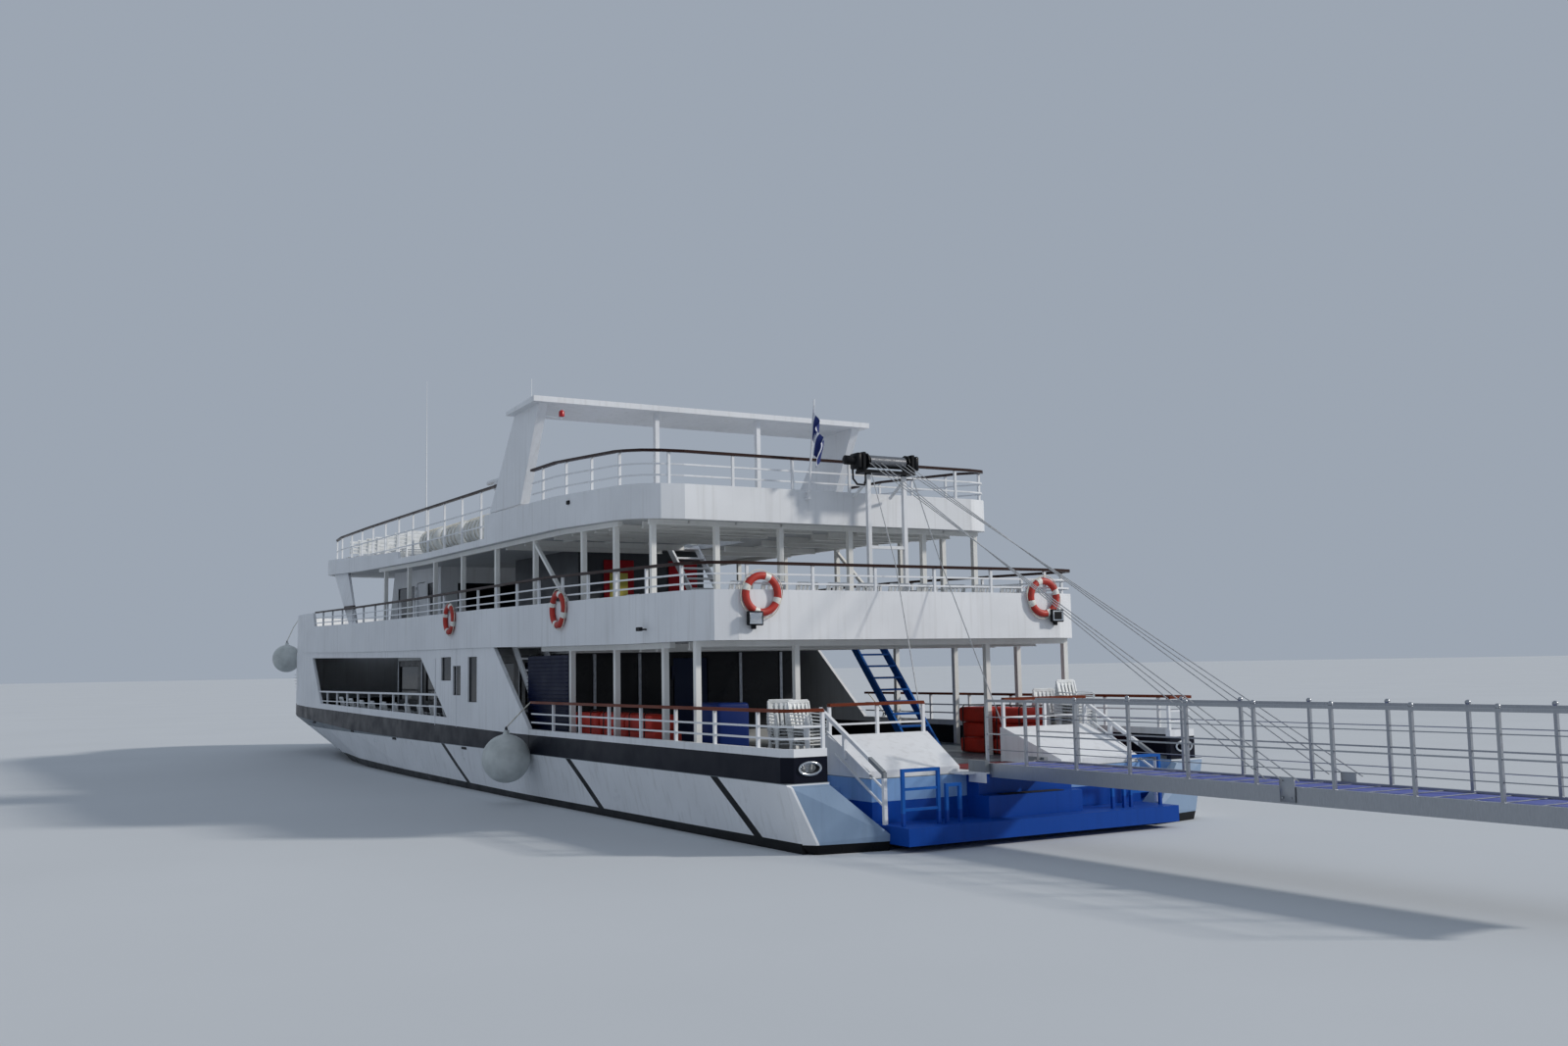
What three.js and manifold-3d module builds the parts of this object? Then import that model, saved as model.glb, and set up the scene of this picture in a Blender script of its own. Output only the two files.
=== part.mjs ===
// Three-deck excursion boat with a stern gangway, as a half-size model.
// All sizes below are in metres of the full-size boat; one scale on the root group
// turns them into millimetres of the 1:2 model.
// +X points to the bow, +Y to port, +Z up. z = 0 is the waterline, y = 0 the centreline.
import * as THREE from 'three';
import { mergeVertices } from 'three/addons/utils/BufferGeometryUtils.js';
import { ConvexGeometry } from 'three/addons/geometries/ConvexGeometry.js';
import Module from 'manifold-3d';

const wasm = await Module();
wasm.setup();

const MODEL_SCALE = 0.5;
const MM_PER_M = 1000 * MODEL_SCALE;
const GAP = 0.0008;          // seat between touching pieces
const WALL = 0.08;           // steel side wall with its lining
const SLAB = 0.12;           // deck plate with its covering

// Levels along the boat: columns x, z.
const level = (table) => (x) => {
  let i = 1;
  while (i < table.length - 1 && x > table[i][0]) i += 1;
  const [x0, z0] = table[i - 1];
  const [x1, z1] = table[i];
  const t = Math.min(1, Math.max(0, (x - x0) / (x1 - x0)));
  return z0 + (z1 - z0) * t;
};
const MAIN_Z = [[-17.5, 1.03], [2, 1.03], [8, 1.08], [12, 1.2], [14.5, 1.28], [18.2, 1.38], [21.8, 1.48]];
const UPPER_Z = [[-14.7, 3.2], [-12, 3.2], [-8, 3.24], [-4, 3.3], [2, 3.34], [8, 3.4], [14.5, 3.5], [21.8, 3.6]];
const BAND_Z = [[-14.7, 4.05], [-12, 4.08], [-8, 4.12], [-4, 4.17], [2, 4.21], [8, 4.26], [13.2, 4.34],
  [13.5, 4.8], [21.8, 4.9]];
const RAIL_Z = [[-14.7, 4.5], [-12, 4.56], [-8, 4.65], [2, 4.68], [8, 4.73], [13.2, 4.8], [21.8, 4.9]];
const SUN_Z = [[-12.4, 5.47], [-11, 5.55], [-8, 5.65], [2, 5.71], [8, 5.84], [12, 6.0], [16.5, 6.2]];
const FASCIA_Z = [[-12.4, 6.12], [-11, 6.2], [-8, 6.33], [-3.6, 6.38]];
const PROW_Z = [[2, 5.95], [3.8, 6.1], [8, 6.28], [13.4, 6.56], [16.5, 6.66]];
const SUN_RAIL_Z = [[-12.4, 6.72], [-11, 6.86], [-8, 7.04], [2, 7.12], [13.5, 7.24], [16.5, 7.3]];
const mainZ = level(MAIN_Z);
const upperZ = level(UPPER_Z);
const bandZ = level(BAND_Z);
const railZ = level(RAIL_Z);
const sunZ = level(SUN_Z);
const fasciaZ = level(FASCIA_Z);
const prowZ = level(PROW_Z);
const sunRailZ = level(SUN_RAIL_Z);
const BREAKS = [...new Set([...MAIN_Z, ...UPPER_Z, ...BAND_Z, ...SUN_Z, ...PROW_Z].map((row) => row[0]))];

// Hull sections: deck edge x, y; waterline x, y; bilge x, y, z; keel x, z.
const HULL = [
  [-17.5, 4.25, -17.5, 3.98, -17.5, 3.4, -0.35, -17.5, -0.45],
  [-14, 4.26, -14, 4.02, -14, 3.45, -0.7, -14, -0.85],
  [-6, 4.27, -6, 4.07, -6, 3.5, -1.15, -6, -1.7],
  [2, 4.27, 2, 4.02, 2, 3.45, -1.2, 2, -1.85],
  [8, 4.26, 7.6, 3.86, 7.2, 3.15, -1.2, 7, -1.85],
  [12, 4.24, 11, 3.5, 10.4, 2.65, -1.15, 10, -1.85],
  [14.5, 4.2, 13, 3.1, 12.2, 2.15, -1.1, 12, -1.85],
  [16.5, 4.1, 14.8, 2.65, 13.8, 1.65, -1.05, 13.4, -1.8],
  [18.2, 3.78, 16.3, 2.1, 15.2, 1.15, -1.0, 14.6, -1.75],
  [19.6, 3.2, 17.6, 1.45, 16.5, 0.7, -0.95, 15.7, -1.65],
  [20.7, 2.35, 18.6, 0.85, 17.4, 0.4, -0.9, 16.5, -1.5],
  [21.4, 1.35, 19.2, 0.4, 18.0, 0.25, -0.8, 17.1, -1.35],
  [21.8, 0.35, 19.5, 0.12, 18.2, 0.12, -0.7, 17.4, -1.2],
];
const KEEL_HALF = 0.12;
const MAIN_EDGE = HULL.map((row) => [row[0], row[1]]);

// Outlines of the port half, aft centre to bow centre: columns x, y.
const UPPER_EDGE = [[-14.75, 0], [-14.75, 3.5], [-14.64, 3.9], [-14.35, 4.15], [-13.8, 4.24], [-12, 4.27],
  [-6, 4.3], [8, 4.3], [12, 4.28], [14.5, 4.22], [16.5, 4.08], [18.2, 3.75], [19.6, 3.15], [20.6, 2.35],
  [21.2, 1.4], [21.5, 0]];
const SUN_EDGE = [[-12.4, 0], [-12.4, 3.3], [-12.26, 3.72], [-11.95, 3.98], [-11.4, 4.09], [-9, 4.12], [2, 4.12],
  [8, 4.08], [12, 3.95], [13.6, 3.75], [15, 3.25], [15.9, 2.4], [16.4, 1.3], [16.5, 0]];

const root = new THREE.Group();
root.name = 'excursion_boat';
root.scale.setScalar(MM_PER_M);

const PAINT = {
  white: [0xe9ecef, 0.45, 0],
  navy: [0x17243f, 0.45, 0],
  blue: [0x1d4f9e, 0.55, 0],
  grey: [0x9aa0a6, 0.5, 0.3],
  black: [0x17181a, 0.6, 0],
  wood: [0x5b3423, 0.55, 0],
  orange: [0xc8402a, 0.6, 0],
  bronze: [0x9c7a3c, 0.35, 0.9],
  fender: [0xb9bdbb, 0.6, 0],
};
const add = (name, geometry, paint = 'white') => {
  const [color, roughness, metalness] = PAINT[paint];
  const mesh = new THREE.Mesh(geometry, new THREE.MeshStandardMaterial({ color, roughness, metalness }));
  mesh.name = name;
  root.add(mesh);
  return mesh;
};

// Closed meshes and their booleans.
const bare = (geometry) => {
  const g = geometry.index ? geometry.clone() : geometry.clone();
  g.deleteAttribute('normal');
  g.deleteAttribute('uv');
  return mergeVertices(g, 1e-6);
};
const toManifold = (geometry) => {
  const g = bare(geometry);
  return new wasm.Manifold(new wasm.Mesh({
    numProp: 3,
    vertProperties: new Float32Array(g.attributes.position.array),
    triVerts: new Uint32Array(g.index.array),
  }));
};
const fromManifold = (manifold) => {
  const mesh = manifold.getMesh();
  const g = new THREE.BufferGeometry();
  g.setAttribute('position', new THREE.BufferAttribute(new Float32Array(mesh.vertProperties), 3));
  g.setIndex(new THREE.BufferAttribute(new Uint32Array(mesh.triVerts), 1));
  return g;
};
const union = (list) => {
  let body = toManifold(list[0]);
  for (const g of list.slice(1)) body = body.add(toManifold(g));
  return fromManifold(body);
};
const cut = (geometry, list) => {
  let body = toManifold(geometry);
  for (const g of list) body = body.subtract(toManifold(g));
  return fromManifold(body);
};
const indexed = (points, faces) => {
  let volume = 0;
  for (const [a, b, c] of faces) {
    const [p, q, r] = [points[a], points[b], points[c]];
    volume += p[0] * (q[1] * r[2] - q[2] * r[1]) + p[1] * (q[2] * r[0] - q[0] * r[2])
      + p[2] * (q[0] * r[1] - q[1] * r[0]);
  }
  const turned = volume < 0 ? faces.map(([a, b, c]) => [a, c, b]) : faces;
  const g = new THREE.BufferGeometry();
  g.setAttribute('position', new THREE.BufferAttribute(new Float32Array(points.flat()), 3));
  g.setIndex(turned.flat());
  return g;
};
// Sections are rings of equal length; the ends are closed unless the loft itself is a loop.
const loft = (sections, loop = false) => {
  const k = sections[0].length;
  const n = sections.length;
  const faces = [];
  for (let i = 0; i < (loop ? n : n - 1); i += 1) {
    const j = (i + 1) % n;
    for (let a = 0; a < k; a += 1) {
      const b = (a + 1) % k;
      faces.push([i * k + a, j * k + a, j * k + b], [i * k + a, j * k + b, i * k + b]);
    }
  }
  if (!loop) {
    for (let a = 1; a < k - 1; a += 1) {
      faces.push([0, a, a + 1], [(n - 1) * k, (n - 1) * k + a + 1, (n - 1) * k + a]);
    }
  }
  return indexed(sections.flat(), faces);
};
const box = (x0, x1, y0, y1, z0, z1) => new THREE.BoxGeometry(x1 - x0, y1 - y0, z1 - z0)
  .translate((x0 + x1) / 2, (y0 + y1) / 2, (z0 + z1) / 2);
const hullOf = (points) => new ConvexGeometry(points.map((p) => new THREE.Vector3(...p)));
const shapeOf = (points) => new THREE.Shape(points.map(([a, b]) => new THREE.Vector2(a, b)));
// A plate with its outline in x and z, from y0 to y1.
const plateXZ = (points, y0, y1) => new THREE.ExtrudeGeometry(shapeOf(points), { depth: y1 - y0, bevelEnabled: false })
  .rotateX(Math.PI / 2).translate(0, y1, 0);
const mirrored = (geometry) => {
  const g = bare(geometry);
  const p = g.attributes.position;
  for (let i = 0; i < p.count; i += 1) p.setY(i, -p.getY(i));
  const index = Array.from(g.index.array);
  for (let i = 0; i < index.length; i += 3) [index[i + 1], index[i + 2]] = [index[i + 2], index[i + 1]];
  g.setIndex(index);
  return g;
};
const pair = (name, geometry, paint) => {
  add(`${name}_port`, geometry, paint);
  add(`${name}_stbd`, mirrored(geometry), paint);
};

// Plan lines.
const withBreaks = (line) => {
  const out = [];
  line.forEach(([x0, y0], i) => {
    out.push([x0, y0]);
    if (i === line.length - 1) return;
    const [x1, y1] = line[i + 1];
    const inside = BREAKS.filter((x) => x > Math.min(x0, x1) + 0.05 && x < Math.max(x0, x1) - 0.05);
    inside.sort((a, b) => (x1 > x0 ? a - b : b - a));
    for (const x of inside) out.push([x, y0 + ((y1 - y0) * (x - x0)) / (x1 - x0)]);
  });
  return out;
};
const between = (line, x0, x1) => {
  const y = level(line.map(([x, v]) => [x, v]));
  const inner = line.filter(([x]) => x > x0 + 0.02 && x < x1 - 0.02);
  return [[x0, y(x0)], ...inner, [x1, y(x1)]];
};
const closedLoop = (half) => {
  const inner = half.slice(1, -1).reverse().map(([x, y]) => [x, -y]);
  return [...half, ...inner];
};
const offset = (line, distance, loop = false) => line.map(([x, y], i) => {
  const n = line.length;
  const prev = loop ? line[(i - 1 + n) % n] : line[Math.max(0, i - 1)];
  const next = loop ? line[(i + 1) % n] : line[Math.min(n - 1, i + 1)];
  const a = new THREE.Vector2(x - prev[0], y - prev[1]).normalize();
  const b = new THREE.Vector2(next[0] - x, next[1] - y).normalize();
  const d = a.clone().add(b).normalize();
  const half = Math.max(0.5, Math.abs(d.dot(a.length() > 0 ? a : b)));
  return [x - (d.y * distance) / half, y + (d.x * distance) / half];
});
// A wall on a plan line. z0 and z1 are functions of x; lean moves the top edge inwards.
const wall = (line, thickness, z0, z1, loop = false, lean = 0) => {
  const side = offset(line, -thickness, loop);
  const top = lean ? offset(line, -lean, loop) : line;
  const topIn = lean ? offset(line, -lean - thickness, loop) : side;
  return loft(line.map(([x, y], i) => [
    [x, y, z0(x)], [...top[i], z1(x)], [...topIn[i], z1(x)], [...side[i], z0(x)],
  ]), loop);
};
// A bar of w by h on a plan line, with its middle at height z(x).
const bar = (line, w, h, z, loop = false) => {
  const out = offset(line, w / 2, loop);
  const inn = offset(line, -w / 2, loop);
  return loft(line.map(([x], i) => [
    [...out[i], z(x) - h / 2], [...out[i], z(x) + h / 2], [...inn[i], z(x) + h / 2], [...inn[i], z(x) - h / 2],
  ]), loop);
};
// A square or flat strut between two points.
const strut = (p, q, w, d = w) => {
  const a = new THREE.Vector3(...p);
  const b = new THREE.Vector3(...q);
  const length = a.distanceTo(b);
  const g = new THREE.BoxGeometry(w, d, length);
  const m = new THREE.Matrix4().lookAt(b, a, Math.abs(b.z - a.z) > 0.99 * length
    ? new THREE.Vector3(0, 1, 0) : new THREE.Vector3(0, 0, 1));
  return g.applyMatrix4(m).translate((a.x + b.x) / 2, (a.y + b.y) / 2, (a.z + b.z) / 2);
};
const stations = (line, pitch) => {
  const out = [];
  let carry = 0;
  for (let i = 0; i < line.length - 1; i += 1) {
    const [x0, y0] = line[i];
    const [x1, y1] = line[i + 1];
    const length = Math.hypot(x1 - x0, y1 - y0);
    for (let s = carry; s <= length; s += pitch) {
      out.push([x0 + ((x1 - x0) * s) / length, y0 + ((y1 - y0) * s) / length]);
    }
    carry = (carry - length) % pitch;
    if (carry < 0) carry += pitch;
  }
  return out;
};
// A guard rail: cap, lower bars and posts, in one piece.
const rail = (line, foot, cap, bars, pitch, loop = false) => {
  const closed = loop ? [...line, line[0]] : line;
  return union([
    bar(line, 0.09, 0.05, cap, loop),
    ...bars.map((share) => bar(line, 0.03, 0.03, (x) => foot(x) + (cap(x) - foot(x)) * share, loop)),
    ...stations(closed, pitch).map(([x, y]) => box(x - 0.025, x + 0.025, y - 0.025, y + 0.025,
      Math.max(foot(x - 0.03), foot(x + 0.03)), cap(x))),
  ]);
};

// Hull, skeg, shafts, propellers and rudders.
const hullSection = ([xd, yd, xw, yw, xb, yb, zb, xk, zk]) => {
  const port = [[xk, KEEL_HALF, zk], [xb, yb, zb], [xw, yw, 0], [xd, yd, mainZ(xd)]];
  return [...port, ...port.map(([x, y, z]) => [x, -y, z]).reverse()];
};

const SKEG = [[-13.2, -0.6], [-6.5, -1.2], [-6.5, -2.1], [-12.6, -2.1]];
const BITT = { x: -15.6, y: 3.55 };
const bitts = [1, -1].flatMap((s) => [
  box(BITT.x - 0.45, BITT.x + 0.45, s * BITT.y - 0.15, s * BITT.y + 0.15, 0.95, 1.07),
  ...[-0.27, 0.27].map((d) => new THREE.CylinderGeometry(0.1, 0.1, 0.5, 12).rotateX(Math.PI / 2)
    .translate(BITT.x + d, s * BITT.y, 1.2)),
]);
const rudderBoss = [1, -1].map((s) => new THREE.CylinderGeometry(0.13, 0.13, 0.4, 12).rotateX(Math.PI / 2)
  .translate(-15.9, s * 1.9, -0.42));
// Stairs down to the swim platform are cut into the stern corners: columns x aft, x fore, tread height.
const STAIR_IN = 2.75;
const STAIR_OUT = 3.5;
const TREADS = [[-16.6, -16.3, 0.86], [-16.9, -16.6, 0.7], [-17.2, -16.9, 0.54], [-17.7, -17.2, 0.38]];
const sternStairs = [1, -1].flatMap((s) => TREADS.map(([x0, x1, z]) => box(x0, x1, Math.min(s * STAIR_IN, s * STAIR_OUT),
  Math.max(s * STAIR_IN, s * STAIR_OUT), z, 1.3)));
add('hull', cut(union([loft(HULL.map(hullSection)), plateXZ(SKEG, -0.09, 0.09), ...bitts, ...rudderBoss]), sternStairs), 'white');

const SHAFT_Y = 1.9;
const SHAFT_Z = -1.38;
const PROP_X = -14.9;
const PROP_R = 0.56;
const RUDDER_X = -15.9;
const shaft = union([
  new THREE.CylinderGeometry(0.06, 0.06, 8.4, 12).rotateZ(Math.PI / 2).translate(PROP_X + 4.6, SHAFT_Y, SHAFT_Z),
  new THREE.CylinderGeometry(0.13, 0.13, 0.5, 12).rotateZ(Math.PI / 2).translate(PROP_X + 0.42 + GAP, SHAFT_Y, SHAFT_Z),
  hullOf([[PROP_X + 0.3, SHAFT_Y - 0.03, SHAFT_Z], [PROP_X + 0.3, SHAFT_Y + 0.03, SHAFT_Z],
    [PROP_X + 0.6, SHAFT_Y - 0.03, SHAFT_Z], [PROP_X + 0.6, SHAFT_Y + 0.03, SHAFT_Z],
    [PROP_X + 0.3, SHAFT_Y - 0.03, -0.66], [PROP_X + 0.3, SHAFT_Y + 0.03, -0.66],
    [PROP_X + 0.6, SHAFT_Y - 0.03, -0.66], [PROP_X + 0.6, SHAFT_Y + 0.03, -0.66]]),
]);
const hullSolid = loft(HULL.map(hullSection).map((s) => s.map(([x, y, z]) => [x, y, z - GAP])));
add('shaft_bracket_port', cut(shaft, [hullSolid]), 'bronze');
add('shaft_bracket_stbd', cut(mirrored(shaft), [hullSolid]), 'bronze');

const blade = (turn) => {
  const g = new THREE.BoxGeometry(0.05, 0.34, PROP_R - 0.1);
  return g.translate(0, 0, (PROP_R - 0.1) / 2 + 0.08).rotateZ(0.55).rotateX(turn);
};
const propeller = union([
  new THREE.CylinderGeometry(0.11, 0.13, 0.34, 12).rotateZ(Math.PI / 2),
  new THREE.ConeGeometry(0.11, 0.2, 12).rotateZ(Math.PI / 2).translate(-0.265, 0, 0),
  ...[0, 1, 2, 3].map((i) => blade((i * Math.PI) / 2)),
]);
for (const [side, y] of [['port', SHAFT_Y], ['stbd', -SHAFT_Y]]) {
  add(`propeller_${side}`, propeller, 'bronze').position.set(PROP_X, y, SHAFT_Z);
}
const rudder = union([
  plateXZ([[0.22, -0.74], [-0.62, -0.74], [-0.55, -1.95], [0.12, -1.95]], -0.05, 0.05),
  new THREE.CylinderGeometry(0.07, 0.07, 0.2, 12).rotateX(Math.PI / 2).translate(0, 0, -0.72 - GAP),
]);
for (const [side, y] of [['port', SHAFT_Y], ['stbd', -SHAFT_Y]]) {
  add(`rudder_${side}`, rudder, 'black').position.set(RUDDER_X, y, 0);
}

// Stern: sloping wings at the corners, swim platform, transom coamings and sill.
const PLATFORM_Z = 0.36;
const PLATFORM_AFT = -18.4;
const TRANSOM = -17.5 - GAP;
const WING_FOOT = 2.72;
const wing = hullOf([
  [TRANSOM, 4.24, 1.0], [TRANSOM, 3.52, 1.0], [-17.54, 4.2, 0.98], [-17.6, 3.52, 0.96], [TRANSOM, 3.98, 0.1],
  [-17.68, 3.86, 0.17], [-17.92, WING_FOOT, 0.24], [-17.66, 3.78, -0.1], [-17.88, WING_FOOT, -0.08],
  [TRANSOM, 3.8, -0.15], [TRANSOM, WING_FOOT, -0.2], [TRANSOM, WING_FOOT, 0.3]]);
pair('quarter_wing', wing, 'white');

const RECESS = 0.95;
const panel = hullOf([
  [-16.2, RECESS - 0.15, 1.64], [-16.2, STAIR_IN, 1.64], [-16.28, STAIR_IN, 1.64], [-16.28, RECESS - 0.15, 1.64],
  [-17.46, RECESS + 0.1, 1.14], [-17.46, STAIR_IN, 1.14], [-16.2, RECESS - 0.15, 1.03 + GAP],
  [-16.2, STAIR_IN, 1.03 + GAP], [-17.46, RECESS + 0.1, 1.03 + GAP], [-17.46, STAIR_IN, 1.03 + GAP]]);
const sill = union([
  box(-17.8, TRANSOM, -RECESS, RECESS, PLATFORM_Z + GAP, 1.05),
  box(-18.05, -17.75, -RECESS, RECESS, PLATFORM_Z + GAP, 0.7),
]);
const HAND_Y = 2.77;
const handrail = [[0.03, [-16.1, 2.06], [-17.86, 1.14]], [0.014, [-16.3, 1.7], [-17.9, 0.88]],
  [0.014, [-16.5, 1.36], [-17.9, 0.62]]].map(([r, a, b]) => strut([a[0], HAND_Y, a[1]], [b[0], HAND_Y, b[1]], 2 * r));
const handPosts = [[-16.16, 1.5, 2.04], [-16.8, 1.3, 1.7], [-17.87, 0.38, 1.15]]
  .map(([x, z0, z1]) => box(x - 0.03, x + 0.03, HAND_Y - 0.03, HAND_Y + 0.03, z0, z1));
// A boarding ladder's frame and the smaller hoop beside it: columns x, y low, y high, top, rungs.
const LADDERS = [[-18.1, 1.95, 2.6, 1.2, [0.6, 0.9]], [-18.1, 1.55, 1.8, 0.95, []]];
const ladders = LADDERS.flatMap(([x, y0, y1, top, rungs]) => [
  ...[y0, y1].map((y) => box(x - 0.025, x + 0.025, y - 0.025, y + 0.025, 0.3, top)),
  box(x - 0.025, x + 0.025, y0, y1, top - 0.05, top),
  ...rungs.map((z) => box(x - 0.02, x + 0.02, y0, y1, z - 0.02, z + 0.02)),
]);
add('swim_platform', union([
  box(PLATFORM_AFT, TRANSOM, -WING_FOOT + GAP, WING_FOOT - GAP, 0.1, PLATFORM_Z),
  ...ladders, ...ladders.map(mirrored),
]), 'blue');

// Main deck: bulwarks with their hawse holes, rails, bitts.
const BULWARK = [[-6.9, 4.26], [-14, 4.25], [-17.3, 4.23], [-17.48, 4.1], [-17.48, 3.52]];
const HAWSE = new THREE.CylinderGeometry(1, 1, 0.5, 20).scale(0.17, 1, 0.075).rotateZ(Math.PI / 2);
const bulwarkTop = () => 1.53;
const bulwark = cut(wall([...BULWARK].reverse(), 0.1, () => 1.03 + GAP, bulwarkTop), [
  HAWSE.translate(-17.4, 3.83, 1.24)]);
const QUARTER_RAIL = [[-6.94, 4.21], [-14, 4.2], [-17.26, 4.18], [-17.43, 4.06], [-17.43, 3.56]];
pair('bulwark', union([bulwark, rail([...QUARTER_RAIL].reverse(), () => 1.5, () => 2.09, [0.3, 0.6], 1.4)]), 'navy');
const TRANSOM_RAIL = [[-16.24, 0.85], [-16.24, 2.7]];
const transomRail = union([rail(TRANSOM_RAIL, () => 1.6, () => 2.12, [0.4], 0.92), ...handrail, ...handPosts]);
const GANG = { x: -17.92, y: 0.35, z: 1.15, length: 9.9, half: 0.55 };
const lugs = [[GANG.half + GAP, GANG.half + 0.08], [-GANG.half - 0.08, -GANG.half - GAP]]
  .map(([y0, y1]) => box(GANG.x - 0.1, TRANSOM - 0.1, GANG.y + y0, GANG.y + y1, 0.9, 1.24));
add('transom', union([sill, ...lugs, panel, transomRail, mirrored(panel), mirrored(transomRail),
  box(-17.8, -16.3, -RECESS - 0.3, RECESS + 0.3, 1.03 + GAP, 1.06)]), 'white');

// Main-deck house sides with the long side opening, three small windows and a raked aft end.
const SIDE_TOP = (x) => upperZ(x) - GAP;
const sideLine = withBreaks(between(MAIN_EDGE.map(([x, y]) => [x, y - 0.01]), -7.0, 14.5));
const SIDE_OPENING = [[-1.25, 1.66], [12.3, 1.82], [13.7, 3.3], [1.0, 3.14]];
const WINDOWS = [[-1.55, -0.75, 2.55, 3.12], [-2.3, -1.7, 2.2, 2.9], [-3.5, -2.85, 2.05, 3.1]];  // x0, x1, z0, z1
const side = cut(wall(sideLine, WALL, (x) => mainZ(x) + GAP, SIDE_TOP), [
  plateXZ(SIDE_OPENING, 3.5, 5),
  plateXZ([[-7.2, 0.9], [-6.88, 0.9], [-6.88, 1.55], [-4.25, 3.6], [-7.2, 3.6]], 3.5, 5),
  ...WINDOWS.map(([x0, x1, z0, z1]) => box(x0, x1, 3.5, 5, z0, z1)),
]);
const openingRail = rail([[-1.3, 4.17], [13.0, 4.14]], () => 1.6, () => 2.2, [0.5], 1.3);
pair('house_side', union([side, openingRail]), 'white');

// Bow wall round the forward end, with a three-cornered vent each side.
const bowHalf = between(MAIN_EDGE.map(([x, y]) => [x, y - 0.01]), 14.508, 21.8);
const bowLine = [...withBreaks(bowHalf), ...withBreaks(bowHalf).reverse().map(([x, y]) => [x, -y])];
const VENT = [[17.1, 2.25], [18.3, 2.25], [18.3, 2.85]];
const bowWall = cut(wall(bowLine, WALL, (x) => mainZ(x) + GAP, SIDE_TOP), [
  plateXZ(VENT, 3, 5), plateXZ(VENT, -5, -3)]);
add('bow_wall', bowWall, 'white');

// Saloon on the main deck: one ring of wall with windows and an aft doorway.
const SALOON = { x0: -6, x1: 8, y: 2.9 };
const saloonLine = withBreaks([[SALOON.x0, -SALOON.y], [SALOON.x0, SALOON.y]])
  .concat(withBreaks([[SALOON.x0, SALOON.y], [SALOON.x1, SALOON.y]]).slice(1))
  .concat(withBreaks([[SALOON.x1, SALOON.y], [SALOON.x1, -SALOON.y]]).slice(1))
  .concat(withBreaks([[SALOON.x1, -SALOON.y], [SALOON.x0, -SALOON.y]]).slice(1, -1));
const DOOR = { w: 0.9, h: 1.95, z: 1.045 };
const saloonWindows = [-4.9, -2.2, 0.5, 3.2, 5.9].map((x) => box(x, x + 1.9, -3.2, 3.2, 1.95, 2.95));
add('saloon', cut(wall(saloonLine, WALL, (x) => mainZ(x) + GAP, SIDE_TOP, true), [
  ...saloonWindows,
  box(SALOON.x1 - 0.5, SALOON.x1 + 0.5, -2.3, -0.4, 1.95, 2.95),
  box(SALOON.x1 - 0.5, SALOON.x1 + 0.5, 0.4, 2.3, 1.95, 2.95),
  box(SALOON.x0 - 0.5, SALOON.x0 + 0.5, -DOOR.w / 2, DOOR.w / 2, DOOR.z, DOOR.z + DOOR.h),
]), 'white');
// Doors hang on barrels that lie against the wall's outer face.
const HINGE_R = 0.025;
const SALOON_HINGE = [SALOON.x0 - GAP - HINGE_R, DOOR.w / 2 + 0.03];
const saloonDoor = box(SALOON.x0 + 0.02, SALOON.x0 + 0.065, -DOOR.w / 2 + 0.015, DOOR.w / 2 - 0.015,
  DOOR.z + 0.012, DOOR.z + DOOR.h - 0.015);
const saloonLeaf = box(SALOON_HINGE[0], SALOON.x0 + 0.03, DOOR.w / 2 - 0.06, DOOR.w / 2 - 0.02, 1.3, 2.7);
add('saloon_door', union([saloonDoor, saloonLeaf, ...[1.35, 2.65].flatMap((z) => [
  new THREE.CylinderGeometry(HINGE_R, HINGE_R, 0.3, 8).rotateX(Math.PI / 2).translate(...SALOON_HINGE, z),
  box(SALOON_HINGE[0] - 0.008, SALOON_HINGE[0] + 0.008, DOOR.w / 2 - 0.05, SALOON_HINGE[1], z - 0.05, z + 0.05),
])]), 'navy');

// Deck pillars, each row on its girder.
const pillarRow = (list, y, girder, foot, head, x0, x1) => union([
  ...list.map((x) => box(x - 0.05, x + 0.05, y - 0.05, y + 0.05, foot(x), head(x) - 0.05)),
  loft([x0, ...BREAKS.filter((x) => x > x0 + 0.05 && x < x1 - 0.05).sort((a, b) => a - b), x1].map((x) => [
    [x, y - 0.05, head(x) - girder], [x, y + 0.05, head(x) - girder], [x, y + 0.05, head(x)], [x, y - 0.05, head(x)]])),
]);
pair('main_pillars', pillarRow([-8.6, -10.8, -12.9], 3.97, 0.1, (x) => mainZ(x) + GAP, SIDE_TOP, -13.2, -7.0), 'white');
add('aft_pillars', union([
  ...[-4.03, -2.1, 2.1, 4.03].map((y) => box(-14.3, -14.2, y - 0.05, y + 0.05, 1.03 + GAP, 3.15)),
  box(-14.3, -14.2, -4.08, 4.08, 3.1, 3.2 - GAP),
]), 'white');

// Upper deck with its stair wells, and the band of plating round it.
const slabInside = (half, z) => {
  const line = offset(closedLoop(half), -WALL - 0.0015, true).slice(1, half.length);
  return loft(line.map(([x, yLine], i) => {
    const tip = i === line.length - 1;
    const y = tip ? 0.02 : yLine;
    const xAt = tip ? x - 0.012 : x;
    return [[xAt, y, z(xAt)], [xAt, y, z(xAt) + SLAB], [xAt, -y, z(xAt) + SLAB], [xAt, -y, z(xAt)]];
  }));
};
const bandHalf = withBreaks(UPPER_EDGE);
const upperSlab = slabInside(bandHalf, upperZ);
const PORT_WELL = [-6.9, -4.6, 3.0, 3.95];
const STBD_WELL = [-11.2, -9.0, -3.2, -2.2];
const wellBox = ([x0, x1, y0, y1], z) => box(x0, x1, y0, y1, z - 0.5, z + 0.5);
add('upper_deck', cut(upperSlab, [wellBox(PORT_WELL, 3.3), wellBox(STBD_WELL, 3.25)]), 'grey');
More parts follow.
